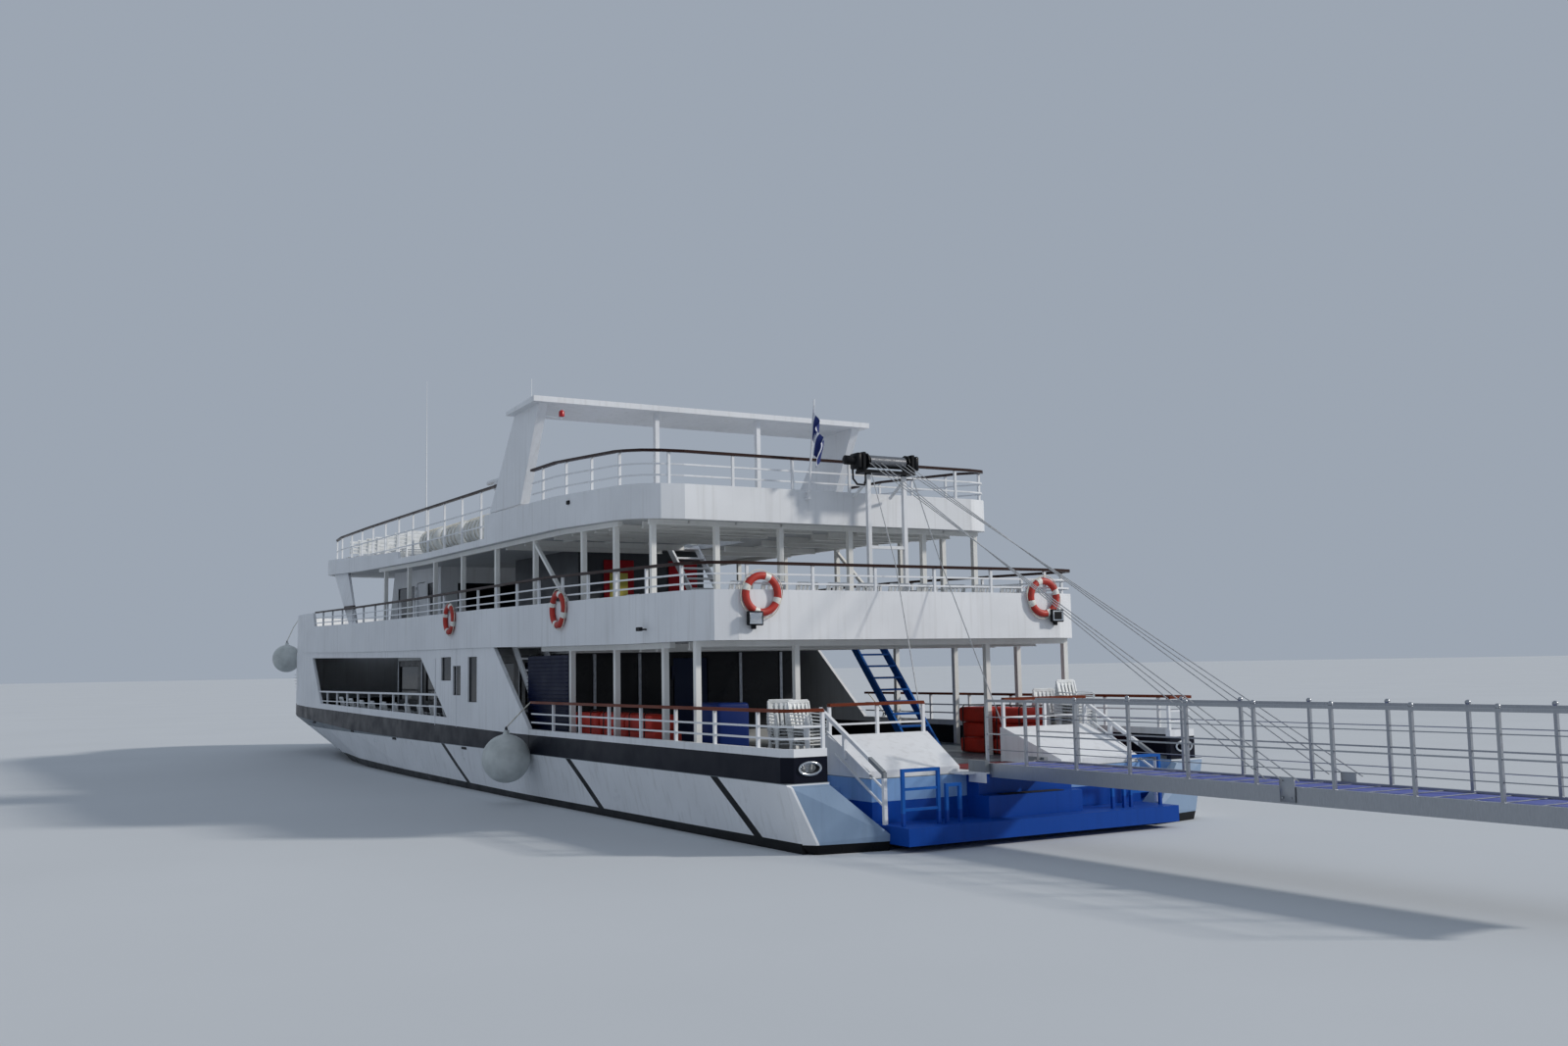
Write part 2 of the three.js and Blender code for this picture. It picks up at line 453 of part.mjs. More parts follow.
const bandLoop = closedLoop(bandHalf);

// Guard rail on the band, and the bow rail ahead of it.
const inset = (line, d, loop) => offset(line, -d, loop);
const upperRailHalf = inset(bandLoop, 0.04, true).slice(0, bandHalf.length).filter(([x]) => x < 13.3);
const upperRailLine = [...upperRailHalf.slice(1).reverse().map(([x, y]) => [x, y]),
  ...upperRailHalf.slice(1).map(([x, y]) => [x, -y])];
const upperRail = rail(upperRailLine.reverse(), (x) => bandZ(Math.min(x, 13.1)) - 0.04, railZ, [0.3, 0.62], 1.3);

// Upper-deck pillars carry the sun deck.
const SUN_UNDER = (x) => sunZ(x) - GAP;
const UPPER_TOP = (x) => upperZ(x) + SLAB + GAP;
const upperPosts = pillarRow([5.8, 3.4, 1.0, -1.3, -3.8, -6.3, -9.0, -10.6], 3.88, 0.1, UPPER_TOP, SUN_UNDER, -10.8, 6.4);
pair('upper_pillars', union([upperPosts, strut([-6.3, 3.88, 5.5], [-8.7, 3.88, 3.7], 0.07),
  box(-8.75, -8.65, 3.83, 3.93, UPPER_TOP(-8.7), 3.75)]), 'white');
add('upper_aft_pillars', union([
  ...[-3.72, -2.4, -0.6, 1.0, 2.4, 3.72].map((y) => box(-11.95, -11.85, y - 0.05, y + 0.05, UPPER_TOP(-11.9), 5.45)),
  box(-11.95, -11.85, -3.8, 3.8, 5.4, sunZ(-11.95) - GAP),
]), 'white');
const strutPlate = hullOf([[7.5, 4.23, 4.12], [7.5, 4.29, 4.12], [8.3, 4.23, 4.12], [8.3, 4.29, 4.12],
  [10.7, 3.74, 6.15], [10.7, 3.82, 6.15], [12.5, 3.74, 6.15], [12.5, 3.82, 6.15]]);
const forwardStrut = cut(strutPlate, [hullOf([-12, 12, 16.5, 2, 8].flatMap((x) => [3.5, 4.5]
  .flatMap((y) => [[x, y, SUN_UNDER(x)], [x, y, 7]])))]);

add('upper_band', union([wall(bandLoop, WALL, upperZ, bandZ, true), upperRail, forwardStrut, mirrored(forwardStrut)]), 'white');

// Wheelhouse: a ring of wall that leans back at the front, with windows and two side doorways.
const WH = { x0: 4.4, x1: 9.6, y: 2.7 };
const whTop = (x) => sunZ(x) - GAP;
const whFoot = (x) => UPPER_TOP(x);
const wheelhouseShell = (() => {
  const outer = hullOf([[WH.x0, -WH.y, 3.2], [WH.x0, WH.y, 3.2], [WH.x0, -WH.y, 6.3], [WH.x0, WH.y, 6.3],
    [WH.x1 + 0.5, -WH.y, 3.2], [WH.x1 + 0.5, WH.y, 3.2], [WH.x1 - 0.55, -WH.y, 6.3], [WH.x1 - 0.55, WH.y, 6.3]]);
  const inner = hullOf([[WH.x0 + WALL, -WH.y + WALL, 3.1], [WH.x0 + WALL, WH.y - WALL, 3.1],
    [WH.x0 + WALL, -WH.y + WALL, 6.4], [WH.x0 + WALL, WH.y - WALL, 6.4],
    [WH.x1 + 0.45, -WH.y + WALL, 3.1], [WH.x1 + 0.45, WH.y - WALL, 3.1],
    [WH.x1 - 0.67, -WH.y + WALL, 6.4], [WH.x1 - 0.67, WH.y - WALL, 6.4]]);
  const spans = [4.0, 8, 12];
  const under = loft(spans.map((x) => [[x, -4, 2.5], [x, 4, 2.5], [x, 4, whFoot(x)], [x, -4, whFoot(x)]]));
  const over = loft([2, 8, 12].map((x) => [[x, -4, whTop(x)], [x, 4, whTop(x)], [x, 4, 8], [x, -4, 8]]));
  const panes = [[-2.45, -1.0], [-0.8, 0.8], [1.0, 2.45]].map(([y0, y1]) => box(8.9, 10.6, y0, y1, 4.4, 5.45));
  const sides = [[4.7, 5.7], [7.0, 8.8]].map(([x0, x1]) => box(x0, x1, -3, 3, 4.4, 5.35));
  const doorways = box(5.95, 6.75, -3, 3, 3.55, 5.42);
  const back = box(4, 5, -2.2, 2.2, 4.5, 5.3);
  return cut(outer, [inner, under, over, ...panes, ...sides, doorways, back]);
})();
add('wheelhouse', wheelhouseShell, 'white');
const WH_HINGE = [6.78, WH.y + GAP + HINGE_R];
const whDoor = union([
  box(5.965, 6.735, WH.y - 0.065, WH.y - 0.02, 3.565, 5.4),
  box(6.66, 6.7, WH.y - 0.03, WH_HINGE[1], 3.8, 5.2),
  ...[3.85, 5.15].flatMap((z) => [
    new THREE.CylinderGeometry(HINGE_R, HINGE_R, 0.3, 8).rotateX(Math.PI / 2).translate(...WH_HINGE, z),
    box(6.68, WH_HINGE[0], WH_HINGE[1] - 0.008, WH_HINGE[1] + 0.008, z - 0.05, z + 0.05),
  ]),
]);
pair('wheelhouse_door', whDoor, 'white');
const console1 = hullOf([-1.6, 1.6].flatMap((y) => [[8.6, y, UPPER_TOP(8.6)], [9.4, y, UPPER_TOP(9.4)], [8.4, y, 4.35],
  [9.2, y, 4.6]]));
const helmWheel = union([new THREE.TorusGeometry(0.3, 0.025, 5, 12).rotateY(Math.PI / 2),
  box(-0.02, 0.02, -0.3, 0.3, -0.02, 0.02), box(-0.02, 0.02, -0.02, 0.02, -0.3, 0.3),
  new THREE.CylinderGeometry(0.03, 0.03, 0.2, 8).rotateZ(Math.PI / 2).translate(0.08, 0, 0)]);
add('helm_console', union([console1, helmWheel.translate(8.3, 0, 4.25)]), 'grey');

// Bar house on the upper deck with the stair to the sun deck behind it.
add('bar_house', loft([-3.4, 1.0].map((x) => [
  [x, -1.7, UPPER_TOP(x)], [x, 1.7, UPPER_TOP(x)], [x, 1.7, SUN_UNDER(x)], [x, -1.7, SUN_UNDER(x)]])), 'white');

// Sun deck, its deep fascia aft, the prow fascia forward and the guard rail.
const sunHalf = withBreaks(SUN_EDGE);
const sunLoop = closedLoop(sunHalf);
const sunSlab = slabInside(sunHalf, sunZ);
const SUN_WELL = [-6.6, -4.0, -1.2, -0.2];
add('sun_deck', cut(sunSlab, [wellBox(SUN_WELL, 5.7)]), 'grey');
const fasciaTop = (x) => {
  if (x < -3.58) return fasciaZ(x);
  return x < 3.78 ? sunZ(x) + 0.16 : prowZ(x);
};
const sunY = level(SUN_EDGE.slice(6));
const fasciaHalf = [...sunHalf.filter(([x]) => x < -3.7), [-3.6, 4.12], [-3.56, 4.12], [2, 4.12], [3.76, sunY(3.76)],
  [3.8, sunY(3.8)], ...sunHalf.filter(([x]) => x > 3.9)];
const railHalf = inset(sunLoop, 0.04, true).slice(0, sunHalf.length);
const railFoot = (x) => (x < -3.6 ? fasciaZ(x) : sunZ(x) + SLAB) + GAP;
const sunRailAft = railHalf.filter(([x]) => x < -7.5).concat([[-6.62, 4.08]]);
const sunRailAftLine = [...sunRailAft.slice(1).reverse(), ...sunRailAft.slice(1).map(([x, y]) => [x, -y])];
const sunRailAft2 = rail([...sunRailAftLine].reverse(), (x) => fasciaZ(x) - 0.04, sunRailZ, [0.3, 0.62], 1.3);
add('sun_fascia', union([wall(closedLoop(fasciaHalf), WALL, sunZ, fasciaTop, true), sunRailAft2]), 'white');
const sunRailSide = [[-4.0, 3.85], [2, 3.85], [8, 3.8], [12, 3.68], [13.4, 3.5]];
pair('sun_rail', rail([...sunRailSide], (x) => sunZ(x) + SLAB + GAP, sunRailZ, [0.32, 0.64], 1.45), 'white');

// Arch: two raked legs, a thin top that rises aft and two posts under it, in one piece.
const LEG = [[-3.9, 6.4], [-5.95, 6.4], [-7.1, 8.5], [-5.6, 8.46]];
const archLegY = 4.0;
const arch = union([
  plateXZ(LEG, archLegY - 0.1, archLegY + 0.1),
  plateXZ(LEG, -archLegY - 0.1, -archLegY + 0.1),
  plateXZ([[-5.5, 8.41], [-5.5, 8.49], [-7.25, 8.58], [-7.25, 8.46]], -archLegY - 0.28, archLegY + 0.28),
  ...[-1.3, 1.3].map((y) => box(-7.06, -6.94, y - 0.05, y + 0.05, sunZ(-7) + SLAB + GAP + 0.012, 8.5)),
]);
add('arch', cut(arch, [
  ...[1, -1].map((s) => loft([-12, -11, -8, -3.6, 0].map((x) => [[x, s * 3, 5], [x, s * 5, 5],
    [x, s * 5, fasciaZ(x) + GAP], [x, s * 3, fasciaZ(x) + GAP]]))),
]), 'white');

// Winch frame at the aft edge of the sun deck, its drum, and the flagstaff.
const WINCH = { x: -13.0, y: -0.76, z: 6.66, leg: 0.42 };
add('winch_frame', union([
  ...[-1, 1].map((k) => box(WINCH.x - 0.04, WINCH.x + 0.04, WINCH.y + k * WINCH.leg - 0.04,
    WINCH.y + k * WINCH.leg + 0.04, UPPER_TOP(WINCH.x), 6.5)),
  box(WINCH.x - 0.16, WINCH.x + 0.16, WINCH.y - 0.6, WINCH.y + 0.6, 6.42, 6.48),
  ...[-1, 1].map((k) => box(WINCH.x - 0.13, WINCH.x + 0.13, WINCH.y + k * 0.57 - 0.03, WINCH.y + k * 0.57 + 0.03, 6.45, 6.82)),
  box(WINCH.x - 0.03, WINCH.x + 0.03, WINCH.y - WINCH.leg, WINCH.y + WINCH.leg, 4.97, 5.03),
]), 'black');
const drum = union([
  new THREE.CylinderGeometry(0.1, 0.1, 1.08 - 2 * GAP, 12),
  ...[-0.47, 0.47].map((d) => new THREE.CylinderGeometry(0.16, 0.16, 0.03, 12).translate(0, d, 0)),
]);
add('winch_drum', drum, 'black').position.set(WINCH.x, WINCH.y, WINCH.z);
const staff = new THREE.CylinderGeometry(0.018, 0.025, 1.9, 8).rotateX(Math.PI / 2).translate(0, 0, 0.95)
  .rotateY(-0.14).translate(-12.5, 0.7, 5.95);
add('flagstaff', union([staff, box(-12.55, -12.4 - GAP, 0.67, 0.73, 5.93, 5.98), box(-12.55, -12.4 - GAP, 0.67, 0.73, 6.06, 6.1)]), 'white');

// Gangway: hinged at its inner end on the sill.
const gangFloor = union([
  new THREE.CylinderGeometry(0.035, 0.035, 2 * GANG.half, 12),
  box(-GANG.length, 0.1, -GANG.half + 0.06, GANG.half - 0.06, -0.04, 0.01),
  box(-GANG.length, 0.06, GANG.half - 0.07, GANG.half, -0.16, 0.05),
  box(-GANG.length, 0.06, -GANG.half, -GANG.half + 0.07, -0.16, 0.05),
  ...[0.05, 2.2, 4.4, 6.6, 8.8].map((s) => box(-s - 0.06, -s, -GANG.half + 0.02, GANG.half - 0.02, -0.12, 0)),
]);
const GANG_POSTS = [0.02, 0.95, 2.05, 3.13, 4.2, 5.33, 6.49, 7.56, 8.6, 9.8];  // from the hinge outwards
const gangRail = (y) => union([
  box(-GANG.length + 0.1, 0, y - 0.02, y + 0.02, 0.99, 1.03),
  ...[0.5].map((z) => box(-GANG.length + 0.1, 0, y - 0.01, y + 0.01, z - 0.01, z + 0.01)),
  ...GANG_POSTS.map((s) => box(-s - 0.02, -s + 0.02, y - 0.02, y + 0.02, 0, 1.0)),
]);
add('gangway', union([gangFloor, gangRail(GANG.half - 0.035), gangRail(-GANG.half + 0.035)]), 'grey')
  .position.set(GANG.x, GANG.y, GANG.z);

// Stairs between the decks: two stringers and treads.
const stair = (x0, z0, x1, z1, y0, y1, treads) => union([
  ...[y0, y1 - 0.05].map((y) => plateXZ([[x0 - 0.12, z0], [x0 + 0.12, z0], [x1 + 0.12, z1], [x1 - 0.12, z1]], y, y + 0.05)),
  ...Array.from({ length: treads }, (_, i) => {
    const t = (i + 0.7) / treads;
    const x = x0 + (x1 - x0) * t;
    const z = z0 + (z1 - z0) * t;
    return box(x - 0.13, x + 0.13, y0 + 0.02, y1 - 0.02, z - 0.02, z + 0.02);
  }),
]);
add('main_stair_port', stair(-7.1, 1.03 + GAP, -4.75, 3.36, 3.1, 3.85, 9), 'white');
add('main_stair_stbd', stair(-11.3, 1.03 + GAP, -9.2, 3.3, -3.1, -2.3, 9), 'blue');
add('sun_stair', stair(-6.6, UPPER_TOP(-6.45), -4.2, 5.75, -1.1, -0.3, 9), 'white');

// Liferaft canisters on cradles at the sun deck's sides.
const raft = (x) => {
  const z = Math.max(sunZ(x - 0.5), sunZ(x + 0.5)) + SLAB + GAP;
  return union([
    new THREE.CylinderGeometry(0.36, 0.36, 1.5, 12).rotateZ(Math.PI / 2).translate(x, 3.3, z + 0.46),
    box(x - 0.5, x - 0.4, 3.0, 3.6, z, z + 0.25),
    box(x + 0.4, x + 0.5, 3.0, 3.6, z, z + 0.25),
  ]);
};
const RAFTS = [-1.15, 0.75, 2.65];
const cradleBar = box(-1.65, 3.15, 3.27, 3.33, sunZ(3.15) + SLAB + 0.12, sunZ(3.15) + SLAB + 0.2);
pair('liferafts', union([...RAFTS.map(raft), cradleBar]), 'white');

// Lifebuoys on the band: columns name, x, y, z, turn about z.
const BUOYS = [
  ['side_aft_port', -8.76, 4.3431, 3.96, 0.005], ['side_fwd_port', -1.7, 4.3569, 4.03, 0],
  ['side_aft_stbd', -8.76, -4.3431, 3.96, -0.005], ['side_fwd_stbd', -1.7, -4.3569, 4.03, 0],
  ['aft_port', -14.8072, 3.08, 3.97, Math.PI / 2], ['aft_stbd', -14.8072, -3.08, 3.97, -Math.PI / 2],
];
for (const [name, x, y, z, turn] of BUOYS) {
  const buoy = add(`lifebuoy_${name}`, new THREE.TorusGeometry(0.31, 0.065, 6, 16).rotateX(Math.PI / 2), 'orange');
  buoy.position.set(x, y, z);
  buoy.rotation.z = turn;
}

// Ball fenders at the ship's side.
for (const [name, x, y, z, r] of [['mid', -6.9, 4.7566, 0.95, 0.5], ['bow', 19.0919, 3.9411, 3.36, 0.5]]) {
  for (const [side2, s] of [['port', 1], ['stbd', -1]]) {
    add(`fender_${name}_${side2}`, new THREE.SphereGeometry(r, 16, 10), 'fender').position.set(x, s * y, z);
  }
}

// Whip aerial on the sun deck.
const AERIAL = { x: 3.85, y: 3.3, length: 5.1 };
add('whip_aerial', new THREE.CylinderGeometry(0.006, 0.03, AERIAL.length, 8).rotateX(Math.PI / 2)
  .translate(0, 0, AERIAL.length / 2), 'white').position.set(AERIAL.x, AERIAL.y, sunZ(AERIAL.x + 0.03) + SLAB + GAP);

export default root;
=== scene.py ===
# %% [markdown]
# # Excursion boat, dressed for its portrait
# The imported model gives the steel: hull, decks, houses, rails and stairs. This script adds paint,
# glass, ropes, wires, chairs and small fittings, each riding on the body that carries it.
# All sizes below are those of the full-size boat in metres; K turns them into the half-size model.

# %% The frame, and the box of the bare model
import math

import bpy
from mathutils import Matrix, Vector


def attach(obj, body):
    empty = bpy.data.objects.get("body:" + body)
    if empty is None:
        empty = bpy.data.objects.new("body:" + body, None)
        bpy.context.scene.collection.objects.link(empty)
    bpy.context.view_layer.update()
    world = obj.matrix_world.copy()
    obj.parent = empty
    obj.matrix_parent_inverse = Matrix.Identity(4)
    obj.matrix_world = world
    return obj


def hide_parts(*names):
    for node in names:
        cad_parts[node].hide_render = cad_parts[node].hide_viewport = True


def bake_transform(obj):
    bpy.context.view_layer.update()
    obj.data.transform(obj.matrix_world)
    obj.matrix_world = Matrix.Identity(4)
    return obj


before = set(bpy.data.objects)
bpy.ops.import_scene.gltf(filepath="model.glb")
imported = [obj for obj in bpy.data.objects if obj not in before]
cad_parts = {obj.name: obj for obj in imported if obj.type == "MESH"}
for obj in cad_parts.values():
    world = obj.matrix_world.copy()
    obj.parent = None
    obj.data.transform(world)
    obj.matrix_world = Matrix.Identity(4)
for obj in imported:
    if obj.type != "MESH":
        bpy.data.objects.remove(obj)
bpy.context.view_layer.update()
K = 0.5

# %% [markdown]
# ## The camera
# The photograph was taken from low down off the port quarter. Straight lines of known height gave
# the lens, the place and the tilt, so the camera is set by numbers and not by eye.

# %% Camera
CAMERA_AT = (-17.92, 7.51, 1.375)
YAW, PITCH, ROLL = math.radians(-30.52), math.radians(5.70), math.radians(-1.02)
FOCAL_SHARE = 1465.2 / 1600

forward = Vector((math.cos(YAW) * math.cos(PITCH), math.sin(YAW) * math.cos(PITCH), math.sin(PITCH)))
level_right = Vector((math.sin(YAW), -math.cos(YAW), 0))
level_up = level_right.cross(forward)
right = level_right * math.cos(ROLL) + level_up * math.sin(ROLL)
up = level_up * math.cos(ROLL) - level_right * math.sin(ROLL)
bpy.ops.object.camera_add()
camera = bpy.context.object
camera.data.sensor_width = 36
camera.data.lens = 36 * FOCAL_SHARE
camera.data.clip_end = 2000
camera.matrix_world = Matrix((
    (right.x, up.x, -forward.x, CAMERA_AT[0]),
    (right.y, up.y, -forward.y, CAMERA_AT[1]),
    (right.z, up.z, -forward.z, CAMERA_AT[2]),
    (0, 0, 0, 1)))
bpy.context.scene.camera = camera
print("lens", round(camera.data.lens, 2), "mm")

# %% [markdown]
# ## Node helpers
# Every finish below is a small tree of nodes on Object coordinates. It could be wired by hand in the
# shader editor, but in code a recipe can be read and used again. A Tree keeps the calls short: it
# makes a node, links it and hands back the socket that the next step needs.

# %% A small helper for node trees
class Tree:
    def __init__(self, name, roughness=0.5, metallic=0.0, coat=0.0):
        self.material = bpy.data.materials.new(name)
        self.material.use_nodes = True
        self.nodes = self.material.node_tree.nodes
        self.links = self.material.node_tree.links
        self.nodes.clear()
        output = self.nodes.new("ShaderNodeOutputMaterial")
        self.shader = self.nodes.new("ShaderNodeBsdfPrincipled")
        self.links.new(self.shader.outputs[0], output.inputs[0])
        self.shader.inputs["Roughness"].default_value = roughness
        self.shader.inputs["Metallic"].default_value = metallic
        self.shader.inputs["Coat Weight"].default_value = coat
        self.place = self.nodes.new("ShaderNodeTexCoord").outputs["Object"]
        split = self.nodes.new("ShaderNodeSeparateXYZ")
        self.links.new(self.place, split.inputs[0])
        self.axis = {"x": split.outputs[0], "y": split.outputs[1], "z": split.outputs[2]}

    def put(self, socket, value):
        if isinstance(value, bpy.types.NodeSocket):
            self.links.new(value, socket)
        else:
            socket.default_value = value

    def math(self, operation, a, b=0.0):
        node = self.nodes.new("ShaderNodeMath")
        node.operation = operation
        self.put(node.inputs[0], a)
        self.put(node.inputs[1], b)
        return node.outputs[0]

    def span(self, value, low, high, to_low=0.0, to_high=1.0):
        node = self.nodes.new("ShaderNodeMapRange")
        for socket, number in zip(node.inputs, (value, low, high, to_low, to_high)):
            self.put(socket, number)
        return node.outputs[0]

    def mix(self, share, a, b, blend="MIX"):
        node = self.nodes.new("ShaderNodeMix")
        node.data_type = "RGBA"
        node.blend_type = blend
        self.put(node.inputs[0], share)
        self.put(node.inputs[6], a)
        self.put(node.inputs[7], b)
        return node.outputs[2]

    def noise(self, scale, detail=4.0, stretch=(1, 1, 1)):
        mapping = self.nodes.new("ShaderNodeMapping")
        mapping.inputs["Scale"].default_value = stretch
        self.links.new(self.place, mapping.inputs[0])
        node = self.nodes.new("ShaderNodeTexNoise")
        node.inputs["Scale"].default_value = scale
        node.inputs["Detail"].default_value = detail
        self.links.new(mapping.outputs[0], node.inputs["Vector"])
        return node.outputs[0]

    def bump(self, height, strength, distance):
        node = self.nodes.new("ShaderNodeBump")
        node.inputs["Strength"].default_value = strength
        node.inputs["Distance"].default_value = distance
        self.put(node.inputs["Height"], height)
        self.links.new(node.outputs[0], self.shader.inputs["Normal"])

    def level(self, table):
        """The height on the model that goes with x, by rows of full-size x, z."""
        total = table[0][1] * K
        for (x0, z0), (x1, z1) in zip(table, table[1:]):
            rise = self.span(self.axis["x"], x0 * K, x1 * K, 0.0, (z1 - z0) * K)
            total = self.math("ADD", rise, total)
        return total

    def above(self, height, axis="z"):
        """1 where the surface is above a height, 0 below it."""
        return self.math("GREATER_THAN", self.axis[axis], height)

    def below(self, height, axis="z"):
        """1 where the surface is below a height, 0 above it."""
        return self.math("LESS_THAN", self.axis[axis], height)

    def within(self, axis, middle, half):
        """1 within half of a place on an axis, in full-size metres."""
        off = self.math("SUBTRACT", self.axis[axis], middle * K)
        return self.math("LESS_THAN", self.math("ABSOLUTE", off), half * K)

    def both(self, a, b):
        return self.math("MULTIPLY", a, b)

    def colour(self, value):
        self.put(self.shader.inputs["Base Color"], value)
        return self.material


def tone(r, g, b):
    """A colour as it is seen, 0 to 255, turned into light."""
    shares = [c / 255 for c in (r, g, b)]
    light = [((c + 0.055) / 1.055) ** 2.4 if c > 0.04 else c / 12.92 for c in shares]
    return (*light, 1.0)


print("node helper ready")

# %% [markdown]
# ## Paint
# The steel is brush and roller paint over plating. Real paint is never one colour: it has faint
# clouds from rolling, rain streaks that run down and a slight orange-peel bump. One function gives
# all of that to any set of painted zones.

# %% Ship's paint with zones
WHITE = tone(232, 234, 237)
WARM_WHITE = tone(236, 236, 233)
NAVY = tone(9, 14, 30)
BLACK = tone(18, 19, 22)
ROYAL = tone(16, 70, 158)
SKY = tone(134, 172, 218)
WING_BLUE = tone(136, 158, 184)
WOOD = tone(112, 52, 32)
CAP = tone(52, 34, 30)


def ship_paint(name, base, zones=None, roughness=0.38, streaks=0.16, coat=0.06):
    tree = Tree(name, roughness, 0.0, coat)
    tree.shader.inputs["Specular IOR Level"].default_value = 0.12
    colour = base
    for mask, shade in (zones(tree) if zones else ()):
        colour = tree.mix(mask, colour, shade)
    clouds = tree.span(tree.noise(1.6, 5.0), 0.3, 0.7, 0.93, 1.03)
    colour = tree.mix(1.0, colour, clouds, "MULTIPLY")
    runs = tree.span(tree.noise(3.0, 6.0, (6, 6, 0.35)), 0.52, 0.75, 0.0, streaks)
    colour = tree.mix(runs, colour, tone(150, 142, 128), "MULTIPLY")
    sheen = tree.span(tree.noise(4.0, 3.0), 0.3, 0.7, roughness - 0.08, roughness + 0.1)
    tree.put(tree.shader.inputs["Roughness"], sheen)
    plating = tree.span(tree.noise(2.4, 2.0), 0.0, 1.0, 0.0, 1.0)
    roller = tree.math("MULTIPLY", tree.noise(70.0, 3.0), 0.06)
    tree.bump(tree.math("ADD", plating, roller), 0.3, 0.008)
    return tree.colour(colour)


print("paint ready")

# %% [markdown]
# ## Levels for the paint lines
# The painted bands follow the sheer, so their edges are tables of x and z, read from the
# straight lines of the photograph.

# %% Levels and stripes
BOOT_TOP = [(-18, 0.16), (-6, 0.14), (6, 0.2), (20, 0.34)]
NAVY_TOP = [(-17.2, 1.41), (-6, 1.42), (5.6, 1.56), (14.5, 1.68), (21.8, 1.82)]
RAIL_CAP = [(-14.7, 4.5), (-12, 4.56), (-8, 4.65), (2, 4.68), (8, 4.73), (13.2, 4.8)]
SUN_RAIL_CAP = [(-12.4, 6.72), (-11, 6.86), (-8, 7.04), (2, 7.12), (13.5, 7.24)]
STRIPES = [(-0.95, 1.02, -2.55, 0.08), (-9.1, 1.0, -10.3, 0.12), (-15.25, 1.0, -16.2, 0.2)]
STRIPE_WIDTH = 0.26
ANTIFOULING_TOP = -0.12
CAP_DEPTH = 0.028
print("stripes", len(STRIPES))

# %% [markdown]
# ## Painted zones
# A zone is a mask and a colour. The masks compare the place on the boat with a level or with a
# line, so an edge of paint is as sharp as if it had been masked off with tape. The zones could also
# be cut into the mesh, but a mask leaves the model as it is and moves with one number.

# %% Zones of the hull and the sides
def hull_zones(tree):
    for x0, z0, x1, z1 in STRIPES:
        slope = (x1 - x0) / (z1 - z0)
        rise = tree.math("SUBTRACT", tree.axis["z"], z0 * K)
        line = tree.math("ADD", tree.math("MULTIPLY", rise, slope), x0 * K)
        beside = tree.math("ABSOLUTE", tree.math("SUBTRACT", tree.axis["x"], line))
        yield tree.math("LESS_THAN", beside, STRIPE_WIDTH * K / 2), BLACK
    yield tree.below(tree.level(BOOT_TOP)), BLACK
    yield tree.below(ANTIFOULING_TOP * K), tone(60, 30, 27)
    aft = tree.below(-16.29 * K, "x")
    stern = tree.both(tree.both(aft, tree.within("y", 0.0, 3.51)), tree.above(0.1 * K))
    yield stern, SKY
    yield tree.both(stern, tree.below(0.68 * K)), ROYAL
    yield tree.above(1.02 * K), tone(120, 128, 134)


def side_zones(tree):
    yield tree.below(tree.level(NAVY_TOP)), NAVY


def bulwark_zones(tree):
    yield tree.below(tree.level(NAVY_TOP)), NAVY
    yield tree.above(2.06 * K), WOOD


def wing_zones(tree):
    corner = tree.math("ADD", tree.math("MULTIPLY", tree.axis["z"], 0.42), 3.75 * K)
    yield tree.below(corner, "y"), WING_BLUE
    yield tree.below(0.14 * K), BLACK


print("hull and side zones ready")

# %% Zones of the stern, the bands and the saloon
def transom_zones(tree):
    yield tree.both(tree.above(2.09 * K), tree.within("y", 0.0, 2.74)), WOOD
    yield tree.both(tree.within("y", 0.0, 0.96), tree.below(1.04 * K)), ROYAL
    yield tree.both(tree.below(-17.5 * K, "x"), tree.above(1.062 * K)), tone(132, 137, 142)


def ladder_zones(tree):
    yield tree.both(tree.above(0.55 * K), tree.within("x", -18.1, 0.2)), tone(24, 92, 176)


def band_zones(tree):
    cap = tree.math("SUBTRACT", tree.axis["z"], tree.level(RAIL_CAP))
    over = tree.math("GREATER_THAN", cap, -CAP_DEPTH * K)
    under = tree.math("LESS_THAN", cap, 0.1 * K)
    yield tree.both(tree.both(over, under), tree.below(13.15 * K, "x")), CAP


def fascia_zones(tree):
    cap = tree.math("SUBTRACT", tree.axis["z"], tree.level(SUN_RAIL_CAP))
    yield tree.math("GREATER_THAN", cap, -CAP_DEPTH * K), CAP


def saloon_zones(tree):
    yield tree.below(1.3 * K), tone(170, 172, 172)
    yield tree.above(3.12 * K), tone(196, 198, 198)


def winch_frame_zones(tree):
    yield tree.above(6.4 * K), tone(22, 23, 26)


print("stern, band and saloon zones ready")

# %% [markdown]
# ## Dressing the steel
# Each node of the model keeps its shape and gets its paint. Nodes that are alike share a material, so
# one change of a recipe reaches them all. The keys below are the beginnings of the nodes' names.

